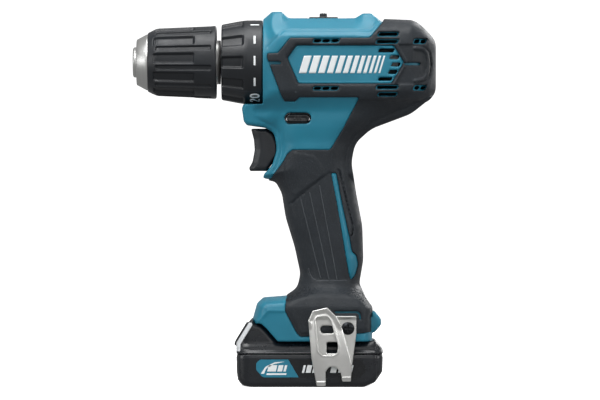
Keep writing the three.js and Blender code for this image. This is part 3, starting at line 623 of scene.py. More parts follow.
def facet(y, z, y0, z0, y1, z1):
    """A flat that runs along X through (y0, z0) and (y1, z1), on both sides."""
    length = math.hypot(y1 - y0, z1 - z0)
    return ((np.abs(y) - y0) * (z0 - z1) + (z - z0) * (y1 - y0)) / length


def leaning_slot(u, v, x0, x1, z0, z1, r):
    """Distance from a slot that leans forwards at the top."""
    return rounded_rect(u - (v - (z0 + z1) / 2) * VENT_LEAN, v, x0, x1, z0, z1, r)


def windows(u, v):
    """Distance from the windows in the rubber."""
    return either(*(leaning_slot(u, v, *window[:4], 0.5) for window in WINDOWS))


def vent_holes(u, v):
    """Distance from the holes in the plastic: one or more in each window, and those in the panel."""
    holes = [leaning_slot(u, v, *vent, 0.4) for vent in PANEL_VENTS]
    for x0, x1, z0, z1, parts in WINDOWS:
        pitch = (x1 - x0) / parts
        for i in range(parts):
            low, high = x0 + i * pitch + 0.55, x0 + (i + 1) * pitch - 0.55
            holes.append(leaning_slot(u, v, low, high, z0 + 0.45, z1 - 0.45, 0.3))
    return either(*holes)


CLIP_LINE = ((15.6, 43.2), (28.4, 43.2), (29.6, 42.2), (30.0, 39.2))


def rubber_region(u, v, clip_side):
    """Distance from the region that the rubber covers, seen from the side."""
    openings = [
        outline(PANEL, u, v),
        outline(STRIP, u, v),
        rounded_rect(u, v, -30, -16.6, 189.0, 190.4, 0.4),
        rounded_rect(u, v, 56.2, 65.4, 188.5, 189.6, 0.4),
        windows(u, v),
    ]
    if clip_side:
        openings.append(stroke(u, v, CLIP_LINE) - 0.45)
    return both(outline(RUBBER_EDGE, u, v), -either(*openings))


RIBS = (
    ((-4.8, 109.4), (7.0, 62.6)),
    ((0.4, 113.6), (11.9, 61.9)),
    ((6.2, 117.8), (16.6, 61.9)),
    ((-0.2, 69), (0.7, 65.2), (2.2, 62.7), (4.6, 61.6), (24.0, 61.6)),
)
RIB_PANEL = filleted([
    (-10.3, 107.4, 0.5), (8.3, 122.2, 0.5), (12.9, 125.6, 0.5), (16.6, 107, 4), (21.6, 76.5, 3),
    (23.2, 66, 2), (22.6, 61.2, 1.5), (3.4, 61.4, 4), (-0.4, 66, 3), (-3.4, 80, 10),
])
PANEL_TOP = ((-11.2, 106.8), (8.3, 122.4), (12.4, 125.4))
THUMB_PATCH = filleted([
    (-9.6, 137.2, 2), (2.8, 135.4, 1), (8.6, 127.6, 1), (8.6, 123.6, 1.5), (-9.6, 110.4, 3),
    (-13.6, 121, 4), (-14.4, 130, 3),
])
REAR_BAND = filleted([
    (50, 200.4, 0), (66, 200.4, 2), (71.6, 196.6, 4), (72.6, 189, 8), (71.6, 181, 4),
    (66, 177.1, 2), (50, 177.1, 0),
])
ARCH = (
    (62.5, 198.4), (67.2, 197.9), (69.6, 195.4), (70.3, 191.5), (70.3, 186), (69.4, 182.2), (67, 179.9),
    (62.5, 179.1),
)
GRIP_SLIT = ((17.2, 126.7), (18.0, 126.3), (26.2, 93.2), (25.7, 88.6), (23.2, 86))


def rubber_relief(u, v):
    """How far the rubber stands out, point by point of its side view."""
    head = smooth(166, 169, v)
    frame_edge = outline(PANEL, u, v)
    relief = 1.35 * smooth(0.0, 1.8, frame_edge) * head * smooth(74, 66, u)
    relief -= 0.95 * smooth(0.5, -0.5, both(outline(REAR_BAND, u, v), 2.3 - frame_edge))
    relief += 1.2 * smooth(1.4, 0.4, stroke(u, v, ARCH))
    relief -= 0.3 * smooth(0.7, 0.1, stroke(u, v, ((28, 167.4), (80, 167.0))))
    relief -= 0.4 * smooth(0.5, -0.5, outline(RIB_PANEL, u, v))
    relief -= 0.5 * smooth(0.8, 0.2, stroke(u, v, PANEL_TOP))
    relief += 0.5 * smooth(0.4, -0.4, outline(THUMB_PATCH, u, v))
    relief -= 0.75 * smooth(0.7, 0.2, stroke(u, v, GRIP_SLIT))
    foot = outline(RUBBER_EDGE, u, v)
    relief += 0.6 * smooth(-1.6, -2.8, foot) * smooth(49, 46, v) * smooth(-14, -10, u)
    return relief


def plastic_relief(u, v):
    """Creases, steps and recesses of the bare plastic."""
    relief = -0.35 * smooth(-0.2, -1.0, outline(PANEL, u, v))
    relief += 0.4 * smooth(1.2, 0.3, stroke(u, v, ((-13.3, 44), (-23.8, 44.1), (-31.5, 36.5))))
    relief -= 0.45 * smooth(0.8, 0.2, stroke(u, v, CREASE))
    rim = np.abs(outline(PANEL, u, v) + 1.3) - 0.45
    relief += 0.4 * smooth(0.4, -0.2, both(rim, 44 - u))
    relief += 0.9 * smooth(0.0, -1.5, outline(STRIP, u, v))
    return relief


def housing_cuts(x, y, z, side):
    """What opens the housing besides its vents."""
    radius = np.hypot(y, z - AXIS_Z)
    cuts = [
        both(radius - 25.4, x + 27),  # clutch ring
        both(radius - 20.3, x + 22),  # the gearbox's nose, inside the ring
        box_field(x, y, z, -50, -11, -9.3, 9.3, 125.7, 151.3),  # trigger
        rounded_rect(x, z, -14.2, 1.2, 153.6, 160.2, 3.3),  # direction button and its collar
        box_field(x, y, z, -0.6, 21.8, -7, 7, 214.9, 225),  # gear selector's plate
        box_field(x, y, z, 5.8, 15.4, -3, 3, 206, 225),  # gear selector's stem
        box_field(x, y, z, -60, 32, -16.9, 16.9, 20, 34),  # battery's neck
        box_field(x, y, z, -60, 32, -20.6, 20.6, 30.6, 37.6),  # battery's rails
        both(rounded_rect(y, z, -5.4, 5.4, 154.5, 160.5, 1), x + 33),  # lamp
    ]
    if side < 0:
        cuts.append(both(np.hypot(x - CLIP_SCREW_X, z - CLIP_SCREW_Z) - 1.9, np.abs(y + 31) - 9))
    else:
        for sx, sz, seat in SCREWS:
            across = np.hypot(x - sx, z - sz)
            cuts.append(both(across - 3.2, seat - y))
            cuts.append(both(across - 1.7, 0.1 - y))
    return either(*cuts)


# Case screws on +Y: x, z and the depth of the seat under the head.
SCREWS = (
    (65.8, 208.2, 12), (60.5, 166.8, 13), (20.6, 139, 9), (17, 65, 13.5), (-24.5, 46, 22.5),
    (31.5, 44.6, 22.5),
)


def half_housing(side, name):
    """The plastic shell, its rubber skin and the dark sheet behind its vents that paints the shade inside
    them, on one side.
    """
    low, high = (-40, -29.5, 26), (75.5, 1, 221)
    if side > 0:
        low, high = (-40, 0, 26), (75.5, 29.5, 221)
    axes = x, y, z = grid(low, high, BODY_STEP)
    u, v = pattern(*side_view(x, z))
    body = body_field(x, y, z)
    region = rubber_region(u, v, side < 0)
    # 1 where the plastic drops to make room for the rubber, 0 where it is bare.
    covered = both(outline(RUBBER_EDGE, u, v), -outline(PANEL, u, v), -outline(STRIP, u, v))
    covered = smooth(0.05, -0.45, covered)
    cuts = housing_cuts(x, y, z, side)
    half = SPLIT - side * y  # this side of the parting line
    if side < 0:
        lap = either(half, both(y - TONGUE, body + TONGUE_DEPTH))
    else:
        lap = both(half, either(TONGUE + SPLIT - y, -body - GROOVE_DEPTH))
    holes = vent_holes(u, v)[:, None, :]
    plastic_skin = body - (plastic_relief(u, v) * (1 - covered) - SKIN_FLOOR * covered)[:, None, :]
    hollow = both(body + WALL, FOOT_TOP_Z - z)
    shell = both(plastic_skin, -hollow, -both(holes, 6 - side * y), -cuts, lap)
    shell = either(shell, both(rear_pad(x, y, z), half, 36.6 - x))
    moulded(f"housing_shell_{name}", shell, axes, "housing", "teal_plastic", f"housing_{name}")
    skin_top = body - (SKIN_PROUD + rubber_relief(u, v))[:, None, :]
    skin = round_max(skin_top, region[:, None, :] + 0.12, 0.55)
    skin = both(skin, 0.15 - SKIN_FLOOR - body, 0.15 - cuts, half, UNDERSIDE_Z - z)
    moulded(f"rubber_grip_{name}", skin, axes, "housing", "black_rubber", f"grip_{name}")
    # Painted shade: a dark sheet behind the vents, only where the background would show through, stands
    # in for the shade inside the housing.
    shade_sheet = np.abs(body + WALL + SHADE_SHEET_GAP) - SHADE_SHEET_THICK / 2
    behind = both(rounded_rect(u, v, 38, 72.6, 167.5, 209.5, 1), either(57.5 - u, v - 173.3))
    shade_sheet = both(shade_sheet, half, behind[:, None, :])
    moulded(f"vent_shade_sheet_{name}", shade_sheet, axes, "housing", "black_plastic")
    make_grip_ribs(side, name)


def wall_width(x, z):
    """The half width of the bare wall at points of its side view."""
    reach, power = side_round(x, z)
    edge = np.maximum(1 + outline(SIDE, x, z) / reach, 0) ** power
    return half_width(x, z) * np.maximum(1 - edge, 0) ** (1 / power)


# A bead's section as shares of its width and height, in mm.
BEAD = ((-0.5, -1.0), (-0.45, 0.2), (-0.2, 0.9), (0.2, 0.9), (0.45, 0.2), (0.5, -1.0))
BEAD_WIDTH, BEAD_HEIGHT = 0.62, 0.34


def make_grip_ribs(side, name):
    """Fine rounded beads that run down the grip's panel, in rubber lighter than the grip's: a painted
    highlight along them.
    """
    vertices, quads = [], []
    for line in RIBS:
        corners = (np.array(line) - (SPREAD_X, SPREAD_Z)) / SPREAD + (SPREAD_X, SPREAD_Z)
        run = np.concatenate([[0], np.cumsum(np.hypot(*np.diff(corners, axis=0).T))])
        along = np.linspace(0, run[-1], int(run[-1] / 0.8))
        centre = np.stack([np.interp(along, run, corners[:, i]) for i in (0, 1)], 1)
        ahead = np.gradient(centre, axis=0)
        ahead /= np.linalg.norm(ahead, axis=1)[:, None]
        first, rows = sum(len(v) for v in vertices), len(BEAD)
        for across, up in BEAD:
            x = centre[:, 0] - ahead[:, 1] * across * BEAD_WIDTH
            z = centre[:, 1] + ahead[:, 0] * across * BEAD_WIDTH
            y = wall_width(x, z) + SKIN_PROUD - 0.4 + up * BEAD_HEIGHT
            vertices.append(np.stack([x, side * y, z], 1))
        row, step = np.arange(rows)[:, None], np.arange(len(along) - 1)[None, :]
        a = first + row * len(along) + step
        b = first + (row + 1) % rows * len(along) + step
        quads.append(np.stack([a, a + 1, b + 1, b], -1).reshape(-1, 4)[:, ::side])
        for end, turn in ((0, side), (len(along) - 1, -side)):
            cap = [[first + r * len(along) + end for r in rim] for rim in ((0, 1, 4, 5), (1, 2, 3, 4))]
            quads.append(np.array(cap)[:, ::turn])
    vertices, quads = np.concatenate(vertices), np.concatenate(quads)
    obj = make_object(f"grip_ribs_{name}", vertices, quads, "rib_highlight_rubber")
    settle(obj, "housing", "black_rubber")


def rear_pad(x, y, z):
    """The bump behind the foot."""
    corners = [
        (34, 30.9, 0), (38.4, 31.6, 2), (42.2, 36, 2.5),
        (42.2, 39.6, 2.5), (38.6, 43.9, 2), (34, 44.6, 0),
    ]
    return round_max(extruded(filleted(corners), x, z), np.abs(y) - 16, 2)


# ------------------------------------------------------------------ chuck and clutch


TURN = 360 / 11  # the sleeve's and the ring's patterns repeat eleven times


def pads(x, angle, centre, half_angle, x0, x1, depth, soft, radius=20.5):
    """Depth of a ring of pads sunk into a turned wall."""
    turn = np.abs((angle - centre + TURN / 2) % TURN - TURN / 2)
    across = (turn - half_angle) * math.pi / 180 * radius
    along = both(x0 - x, x - x1)
    return depth * smooth(soft / 2, -soft / 2, round_max(across, along, 0.8))


def sleeve_detail(x, angle):
    """Wide sunk pads round the sleeve, with narrow grooves between them."""
    wide = pads(x, angle, 5.4, 7.9, -91.0, -67.4, 1.5, 1.5)
    narrow = pads(x, angle, -10.2, 3.8, -89.8, -57.4, 1.1, 0.9)
    return np.maximum(wide, narrow)


def ring_detail(x, angle):
    """Sunk pads round the ring's front edge."""
    return pads(x, angle, -1.3, 7.6, -60, -38.6, 1.6, 1.5, 23)


def make_chuck():
    sleeve = [
        (-94.7, 16.7, 0), (-94.7, 17.0, 1), (-94.2, 17.5, 1), (-89.8, 19.7, 1), (-88.2, 20.05, 1),
        (-55.4, 21.45, 1), (-54.6, 21.2, 1), (-54.3, 20.6, 0), (-54.3, 13.6, 0), (-56.5, 13.6, 0),
        (-56.5, 18.5, 0), (-88.5, 18.5, 0), (-89.6, 16.7, 0),
    ]
    turned("grooved_sleeve", sleeve, "sleeve", "black_plastic", "chuck_sleeve", detail=sleeve_detail)
    ring = [
        (-51.3, 14.1, 0), (-51.4, 21.4, 0), (-51.2, 21.9, 1), (-50.6, 22.3, 1), (-41, 24.1, 1),
        (-37.5, 24.6, 1), (-36, 24.7, 1), (-27.8, 24.7, 1), (-27.2, 24.3, 0), (-27.2, 20.6, 0),
        (-49.8, 20.6, 0), (-49.8, 14.1, 0),
    ]
    turned("numbered_ring", ring, "clutch_ring", "black_plastic", "clutch_ring", detail=ring_detail)
    make_chuck_body()
    for i in range(3):
        make_jaw(i)


NOSE_X = -103.5
JAW_TILT = math.radians(17.5)
JAW_RADIUS, JAW_LENGTH = 3, 22
JAW_BACK = 15.0  # how far the jaws rest behind their shut place
# Where a shut jaw's line starts: this far behind the nose and from the drive axis.
JAW_INSET, JAW_OFFSET = 0.5, 2.6
THREAD_PITCH, THREAD_DEPTH, THREAD_START = 1.6, 0.35, 7


def jaw_axis_distance(x, y, z, turn):
    """Distance from a jaw's tilted line, and how far along it from the shut tip."""
    cy, cz = -math.sin(turn), math.cos(turn)
    radial = y * cy + (z - AXIS_Z) * cz
    across = y * cz - (z - AXIS_Z) * cy
    behind, outward = x - NOSE_X - JAW_INSET, radial - JAW_OFFSET
    along = behind * math.cos(JAW_TILT) + outward * math.sin(JAW_TILT)
    off = -behind * math.sin(JAW_TILT) + outward * math.cos(JAW_TILT)
    return np.hypot(off, across), along, radial, across


def make_chuck_body():
    """The bright nose in front of the sleeve and the neck between sleeve and clutch ring."""
    nose = [
        (-103.5, 6.9, 0), (-103.5, 7.8, 0), (-103.3, 8.3, 0), (-102.8, 8.8, 0), (-102.5, 8.9, 0),
        (-101.4, 8.9, 0), (-101.3, 9.0, 0), (-101.3, 12.9, 0), (-101.2, 13.2, 0), (-100.9, 13.5, 0),
        (-95.6, 16.35, 0), (-95.2, 16.45, 0), (-78, 16.45, 0), (-78, 14.2, 0), (-100.3, 7.4, 0),
        (-100.3, 6.9, 0),
    ]
    turned("chuck_nose", nose, "spindle", "chuck_steel", "chuck_body")
    neck = [
        (-66, 5.3, 0), (-66, 8, 0), (-62, 8, 0), (-60, 12.9, 0), (-52.1, 12.9, 0), (-51.9, 12.7, 0),
        (-51.9, 5.3, 0),
    ]
    turned("chuck_neck", neck, "spindle", "chuck_steel")


def make_jaw(i):
    """A ground rod on its tilted line, threaded on its outside, with a wedge tip."""
    low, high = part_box(f"jaw_{i + 1}")
    axes = x, y, z = grid(np.array(low) / MM - 1, np.array(high) / MM + 1, 0.28)
    lift = JAW_BACK * math.tan(JAW_TILT)
    turn = 2 * math.pi * i / 3
    dy, dz = -lift * math.sin(turn), lift * math.cos(turn)
    off, along, radial, across = jaw_axis_distance(x - JAW_BACK, y - dy, z - dz, turn)
    thread = THREAD_DEPTH * np.abs(((along / THREAD_PITCH) % 1) * 2 - 1) * (along > THREAD_START)
    outer = off - JAW_RADIUS + np.where(radial > JAW_RADIUS, thread, 0)
    wedge = np.abs(across) * 0.5 - (radial - 0.25) * 0.866
    field = both(outer, wedge, -along, along - JAW_LENGTH)
    moulded(f"ground_jaw_{i + 1}", field, axes, f"jaw_{i + 1}", "chuck_steel", f"jaw_{i + 1}")


RING_RADIUS, RING_PRINT_X = 24.72, -31.8


def ring_print(name, vertices, faces, turn):
    """Bends a flat shape of (along the ring, towards the chuck) points round the clutch ring as print."""
    flat = np.asarray(vertices, float)
    count = len(flat)
    layers = []
    angle = math.radians(turn) + flat[:, 0] / RING_RADIUS
    for r in (RING_RADIUS - 0.25, RING_RADIUS + 0.12):
        y, z = -r * np.cos(angle), AXIS_Z + r * np.sin(angle)
        layers.append(np.stack([RING_PRINT_X - flat[:, 1], y, z], 1))
    top = [[i + count for i in f] for f in faces]
    bottom = [f[::-1] for f in faces]
    edges = [(a, b) for f in faces for a, b in zip(f, f[1:] + f[:1])]
    rim = [[a, b, b + count, a + count] for a, b in edges if (b, a) not in edges]
    mesh = plain_mesh(name, np.concatenate(layers), top + bottom + rim, "white_print")
    settle(linked(name, mesh), "clutch_ring", "black_plastic")


def dash(length, width, parts):
    """A short bar's flat mesh, in parts so that it can bend."""
    us = np.linspace(-length / 2, length / 2, parts + 1)
    vertices = [(a, s * width / 2) for a in us for s in (-1, 1)]
    faces = [[2 * i, 2 * i + 2, 2 * i + 3, 2 * i + 1] for i in range(parts)]
    return vertices, faces


GLYPHS = {
    "0": [(0.27 + 0.2 * math.cos(a), 0.5 + 0.43 * math.sin(a)) for a in np.linspace(0, 2 * math.pi, 25)],
    "1": [(0.27, 0.93), (0.27, 0.07)],
    "2": [
        (0.07, 0.72), (0.1, 0.86), (0.2, 0.93), (0.34, 0.93), (0.45, 0.84), (0.46, 0.66), (0.08, 0.07),
        (0.49, 0.07),
    ],
    "5": [
        (0.45, 0.93), (0.12, 0.93), (0.09, 0.55), (0.3, 0.6), (0.46, 0.46), (0.46, 0.2), (0.3, 0.07),
        (0.07, 0.12),
    ],
}


# A figure's height and stretch in mm, and its line and advance as shares of the height.
FIGURE_HEIGHT, FIGURE_STRETCH, FIGURE_LINE, FIGURE_ADVANCE = 5.8, 1.35, 0.15, 0.66


def digits(text):
    """A number's flat mesh, centred, its length along the first axis: each figure is one bent strip."""
    vertices, faces = [], []
    for i, figure in enumerate(text):
        middle = (i - (len(text) - 1) / 2) * FIGURE_ADVANCE
        points = np.array(GLYPHS[figure]) + (middle - 0.27, -0.5)
        ahead = np.diff(points, axis=0)
        ahead /= np.linalg.norm(ahead, axis=1)[:, None]
        closed = np.allclose(points[0], points[-1])
        before = np.concatenate([ahead[-1:] if closed else ahead[:1], ahead])
        after = np.concatenate([ahead, ahead[:1] if closed else ahead[-1:]])
        bend = before + after
        bend /= np.maximum(np.linalg.norm(bend, axis=1) ** 2 / 2, 0.7)[:, None]
        off = np.stack([-bend[:, 1], bend[:, 0]], 1) * FIGURE_LINE / 2
        first = len(vertices)
        edges = np.stack([points - off, points + off], 1).reshape(-1, 2)
        vertices += [tuple(p) for p in edges * (FIGURE_HEIGHT * FIGURE_STRETCH, FIGURE_HEIGHT)]
        faces += [[first + k + j for j in (0, 2, 3, 1)] for k in range(0, 2 * len(points) - 2, 2)]
    return vertices, faces


RING_NUMBERS = {-60: "20", 61: "1", 121: "5", 181: "10", 241: "15"}  # by where they stand, in degrees


def make_ring_print():
    """Twelve marks round the ring: a number where one stands within 2 degrees, and dashes elsewhere."""
    for i in range(12):
        turn = 30 * i - 29
        key = next((k for k in RING_NUMBERS if abs((k - turn + 180) % 360 - 180) < 2), None)
        if key is None:
            ring_print(f"ring_dash_{i}", *dash(5.4, 1.15, 8), turn)
        else:
            ring_print(f"ring_number_{i}", *digits(RING_NUMBERS[key]), key)


# ------------------------------------------------------------------ controls


def make_trigger():
    """The finger trigger, hollow behind for its spring, its front's corners cut off."""
    axes = x, y, z = grid((-36, -9, 125.5), (-17, 9, 151.5), FINE_STEP)
    shape = filleted([
        (-34.1, 151.0, 0.8), (-32.4, 144.5, 4), (-31.9, 138.5, 8), (-33.2, 131.5, 5),
        (-35.2, 127.8, 1), (-34.6, 126.1, 0.6), (-24.6, 126.1, 0.8), (-21.6, 130.4, 3),
        (-17.9, 135, 3), (-17.9, 142, 3), (-20.8, 148.4, 3), (-24.8, 151.0, 0.6),
    ])
    side = extruded(shape, x, z)
    field = round_max(side, np.abs(y) - 8.7, 2.6)
    spring_bore = np.hypot(y, z - 138) - 3.7
    field = both(field, -both(spring_bore, -31 - x))
    stations = ((126, -34.8), (128, -35.2), (131.5, -33.4), (138.5, -32.0), (144.5, -32.6), (151, -34.1))
    front = blended(z, *stations)
    chamfer = (np.abs(y) - 8.7) * 0.86 + (4.0 - x + front) * 0.5
    field = round_max(field, chamfer, 0.5)
    moulded("finger_trigger", field, axes, "trigger", "black_plastic", "trigger")


def make_direction_button():
    axes = x, y, z = grid((-14, -21, 153.8), (1.2, 21, 160), 0.3)
    pill = rounded_rect(x, z, -13.1, 0.1, 154.7, 159.1, 2.2)
    dished = 0.35 * smooth(0, -2.2, pill)
    field = round_max(pill, np.abs(y) - 20.3 + dished, 0.7)
    for i in range(-1, 2):
        rib = np.abs(x + 6.5 + 1.6 * i) - 0.35
        field = either(field, both(rib, pill + 1.2, np.abs(y) - 20.35))
    moulded(
        "direction_bar", field, axes, "direction", "black_plastic", "direction_button",
        look="gloss_plastic",
    )


def make_button_bezel():
    """The black collar that the direction bar slides through, on both sides."""
    for side, name in SIDES:
        low, high = ((-15, -19.5, 153), (2, -9, 161)) if side < 0 else ((-15, 9, 153), (2, 19.5, 161))
        axes = x, y, z = grid(low, high, FINE_STEP)
        pill = rounded_rect(x, z, -14.1, 1.1, 153.7, 160.1, 3.2)
        field = both(pill, -0.75 - pill, np.abs(y) - 19.3, 10 - np.abs(y))
        moulded(f"button_collar_{name}", field, axes, "housing", "black_plastic", look="gloss_plastic")


def make_selector():
    """The gear selector: a plate with a grooved knob on top, and the arm that shifts the gears."""
    axes = x, y, z = grid((-18, -7, 205.8), (17.5, 7, 219.2), 0.3)
    plate = round_max(rounded_rect(x, y, 0, 17, -6.5, 6.5, 1.2), np.abs(z - 215.85) - 0.65, 0.3)
    knob = round_max(rounded_rect(x, y, 6.2, 10.6, -5.5, 5.5, 1), np.abs(z - 217.3) - 1.55, 0.7)
    groove = 0.35 * comb(x - 8.4, 1.3, 0.35)
    knob = both(knob, z - 218.9 + groove)
    stem = box_field(x, y, z, 6.5, 10.5, -2.5, 2.5, 211, 215.6)
    arm = box_field(x, y, z, -17.5, 10.5, -2, 2, 210.3, 211.8)
    pin = box_field(x, y, z, -17.5, -14.5, -2, 2, 206.3, 211)
    field = either(plate, knob, stem, arm, pin)
    moulded("gear_selector", field, axes, "selector", "black_plastic", "speed_selector")


def make_lens():
    axes = x, y, z = grid((-39, -5.5, 154.4), (-33, 5.5, 160.6), 0.3)
    face = rounded_rect(y, z, -5.1, 5.1, 154.8, 160.2, 1)
    dome = -38.4 + 0.05 * y * y - x
    field = round_max(face, both(dome, x + 33.4), 0.4)
    moulded("lamp_lens", field, axes, "housing", "lens", "led_lens")


# ------------------------------------------------------------------ belt clip

CLIP_FRONT = filleted([
    (-0.6, 39.2, 1), (2.0, 44.8, 1), (10.5, 46.7, 1), (16.4, 41, 2), (19.6, 33.5, 8), (25, 13.7, 3),
    (24.3, 3.6, 0.6), (19.2, 3.6, 0.6), (18.4, 8.6, 1), (15.6, 12.2, 2.2), (11.6, 12.2, 2.2),
    (9.6, 9.2, 1), (9.7, 1.0, 0.6), (4.4, 1.0, 0.6), (1.3, 17, 10),
])
CLIP_SLOT = filleted([
    (3.8, 40.9, 2), (10.6, 41.4, 2), (12.6, 38.6, 2), (16.8, 24.2, 2), (16.4, 20.6, 1.5),
    (14.0, 18.9, 1), (7.8, 18.9, 1), (5.6, 21.2, 2),
])
CLIP_BACK = filleted([
    (2, 41.6, 0.5), (27.6, 41.6, 0.8), (27.6, 31.5, 3), (25.2, 13.7, 3), (24.3, 3.6, 0.6),
    (19.2, 3.6, 0.6), (18.4, 8.6, 1), (15.6, 12.2, 2.2), (11.6, 12.2, 2.2), (9.6, 9.2, 1),
    (9.7, 1.0, 0.6), (4.4, 1.0, 0.6), (1.3, 17, 10),
])
CLIP_BACK_Y, CLIP_FRONT_Y, CLIP_THICK = -29.2, -36.0, 1.3


def make_clip():
    """The belt clip: a front and a back leaf with two bends between them at the bottom."""
    axes = x, y, z = grid((-2, -39.5, 0.4), (29, -28, 47.5), 0.3)
    u, v = side_view(x, z)
    front_line, slot_line, back_line = (outline(s, u, v) for s in (CLIP_FRONT, CLIP_SLOT, CLIP_BACK))
    lip = 1.5 * smooth(3.0, 0.2, -front_line) * smooth(33, 39, v)
    lip = lip + 0.45 * smooth(1.3, 0.1, np.abs(slot_line))
    bow = 1.2 * np.sin(np.clip((v - 3) / 40, 0, 1) * math.pi)
    front_y = (CLIP_FRONT_Y - bow - lip + 0.7)[:, None, :]
    edge = both(front_line, -slot_line)[:, None, :]
    front = round_max(edge, np.abs(y - front_y) - CLIP_THICK / 2, 0.6)
    oval = rounded_rect(u, v, 6.6, 14.9, 31.5, 35.9, 2)
    square = rounded_rect(u, v, 10.3, 16.6, 19.9, 26.3, 0.8)
    screw = np.hypot(u - CLIP_SCREW_X, v - CLIP_SCREW_Z) - 2
    edge = both(back_line, -either(oval, square, screw))[:, None, :]
    rolled = 1.2 * smooth(39.2, 41.6, v)[:, None, :]
    back = round_max(edge, np.abs(y - CLIP_BACK_Y + rolled) - CLIP_THICK / 2, 0.6)
    middle = (CLIP_BACK_Y + CLIP_FRONT_Y) / 2
    reach = (CLIP_BACK_Y - CLIP_FRONT_Y) / 2
    field = either(front, back)
    for x0, x1, foot in ((4.5, 9.6, 1.0), (19.3, 24.2, 3.6)):
        centre = foot + reach * 0.55 + CLIP_THICK / 2
        turn = np.hypot(y - middle, (z - centre) / 0.55)
        bend = both(np.abs(turn - reach) - CLIP_THICK / 2, z - centre, beyond(x, x0, x1))
        field = either(field, bend)
    moulded("belt_clip_strap", field, axes, "housing", "clip_steel", "belt_clip")


def make_clip_screw():
    axes = x, y, z = grid((18.4, -33, 30.2), (26.8, -22.3, 38.6), 0.22)
    across = np.hypot(x - CLIP_SCREW_X, z - CLIP_SCREW_Z)
    head = round_max(across - 3.75, np.abs(y + 31.2) - 1.25, 0.6)
    crown = np.hypot(across, y + 26.6) - 5.9
    slots = either(
        box_field(x, y, z, 20.6, 24.6, -34, -31.4, 33.95, 34.85),
        box_field(x, y, z, 22.15, 23.05, -34, -31.4, 32.4, 36.4),
    )
    head = both(head, crown, -slots)
    shank = both(across - 1.5, np.abs(y + 26.5) - 3.9)
    moulded("clip_screw_head", either(head, shank), axes, "housing", "black_steel", "clip_screw")


HEAD_RADIUS, SOCKET_RADIUS, SHANK_RADIUS = 2.8, 1.35, 1.4


def make_case_screws():
    """The case screws, each with a six-lobed socket."""
    for i, (sx, sz, seat) in enumerate(SCREWS):
        axes = x, y, z = grid((sx - 3.2, seat - 3, sz - 3.2), (sx + 3.2, seat + 2.6, sz + 3.2), 0.25)
        across = np.hypot(x - sx, z - sz)
        head = round_max(across - HEAD_RADIUS, np.abs(y - seat - 1.2) - 0.9, 0.5)
        points = np.cos(np.arctan2(z - sz, x - sx) * 6)
        socket = both(across - SOCKET_RADIUS - 0.25 * points, seat + 0.9 - y)
        head = both(head, -socket)
        shank = both(across - SHANK_RADIUS, np.abs(y - seat + 0.9) - 1.4)
        screw = either(head, shank)
        node = f"housing_screw_{i + 1}"
        moulded(f"case_screw_{i + 1}", screw, axes, "housing", "black_steel", node)


# ------------------------------------------------------------------ battery

PACK_HALF = 28.0
PACK_SIDE = filleted([
    (-34, 0, 4), (31.9, 0, 3), (38.5, 2.8, 4), (43.0, 9.1, 3), (43.4, 21.4, 2.5), (42.0, 23.9, 1),
    (38.4, 27.4, 1), (30, 26.1, 1), (-18.6, 26.1, 0.6), (-25.2, 33.8, 1.5), (-28, 36.4, 2),
    (-31.4, 37, 1.2), (-33.0, 40.1, 0.8), (-35.2, 37.6, 1.5), (-42.6, 25.6, 2), (-42.7, 20, 4),
    (-42.4, 9, 4), (-41.6, 4.0, 3), (-38.8, 0.9, 3),
])
SLOPE = ((-34.3, 36.4), (-41.3, 25.1), (-41.3, 21.9))  # a pale strip down the front corner, a painted highlight
SEAM_Z = 19.15
CELL_ROOM = (-33.6, 32.8, -26.8, 26.8)  # what the cells take in x and y


def pack_field(x, y, z):
    """The pack: its side outline crossed with a round-cornered plan that draws in at the shoulder."""
    side = extruded(PACK_SIDE, x, z)
    draw = 2.4 * smooth(18.8, 22.4, z) + 1.4 * smooth(22.6, 26.2, z) + 0.4 * smooth(26, 38, z)
    draw = draw + 0.7 * smooth(39.0, 39.6, x)
    plan = rounded_rect(x, np.abs(y) + draw, -44.3, 45.0, -28, 28, 9.5)
    field = round_max(side, plan, 2.6)
    ridges = comb(z - 7, 2.6, 0.75) * smooth(3.4, 4.4, z) * smooth(16.6, 15.6, z)
    front = smooth(-40.6, -41.6, x) * smooth(19, 18, np.abs(y)) * smooth(16.8, 16.2, z)
    field = field + 0.5 * (1 - ridges) * front
    return field + 0.35 * smooth(0.8, 0.15, np.abs(z - SEAM_Z + 0.9))


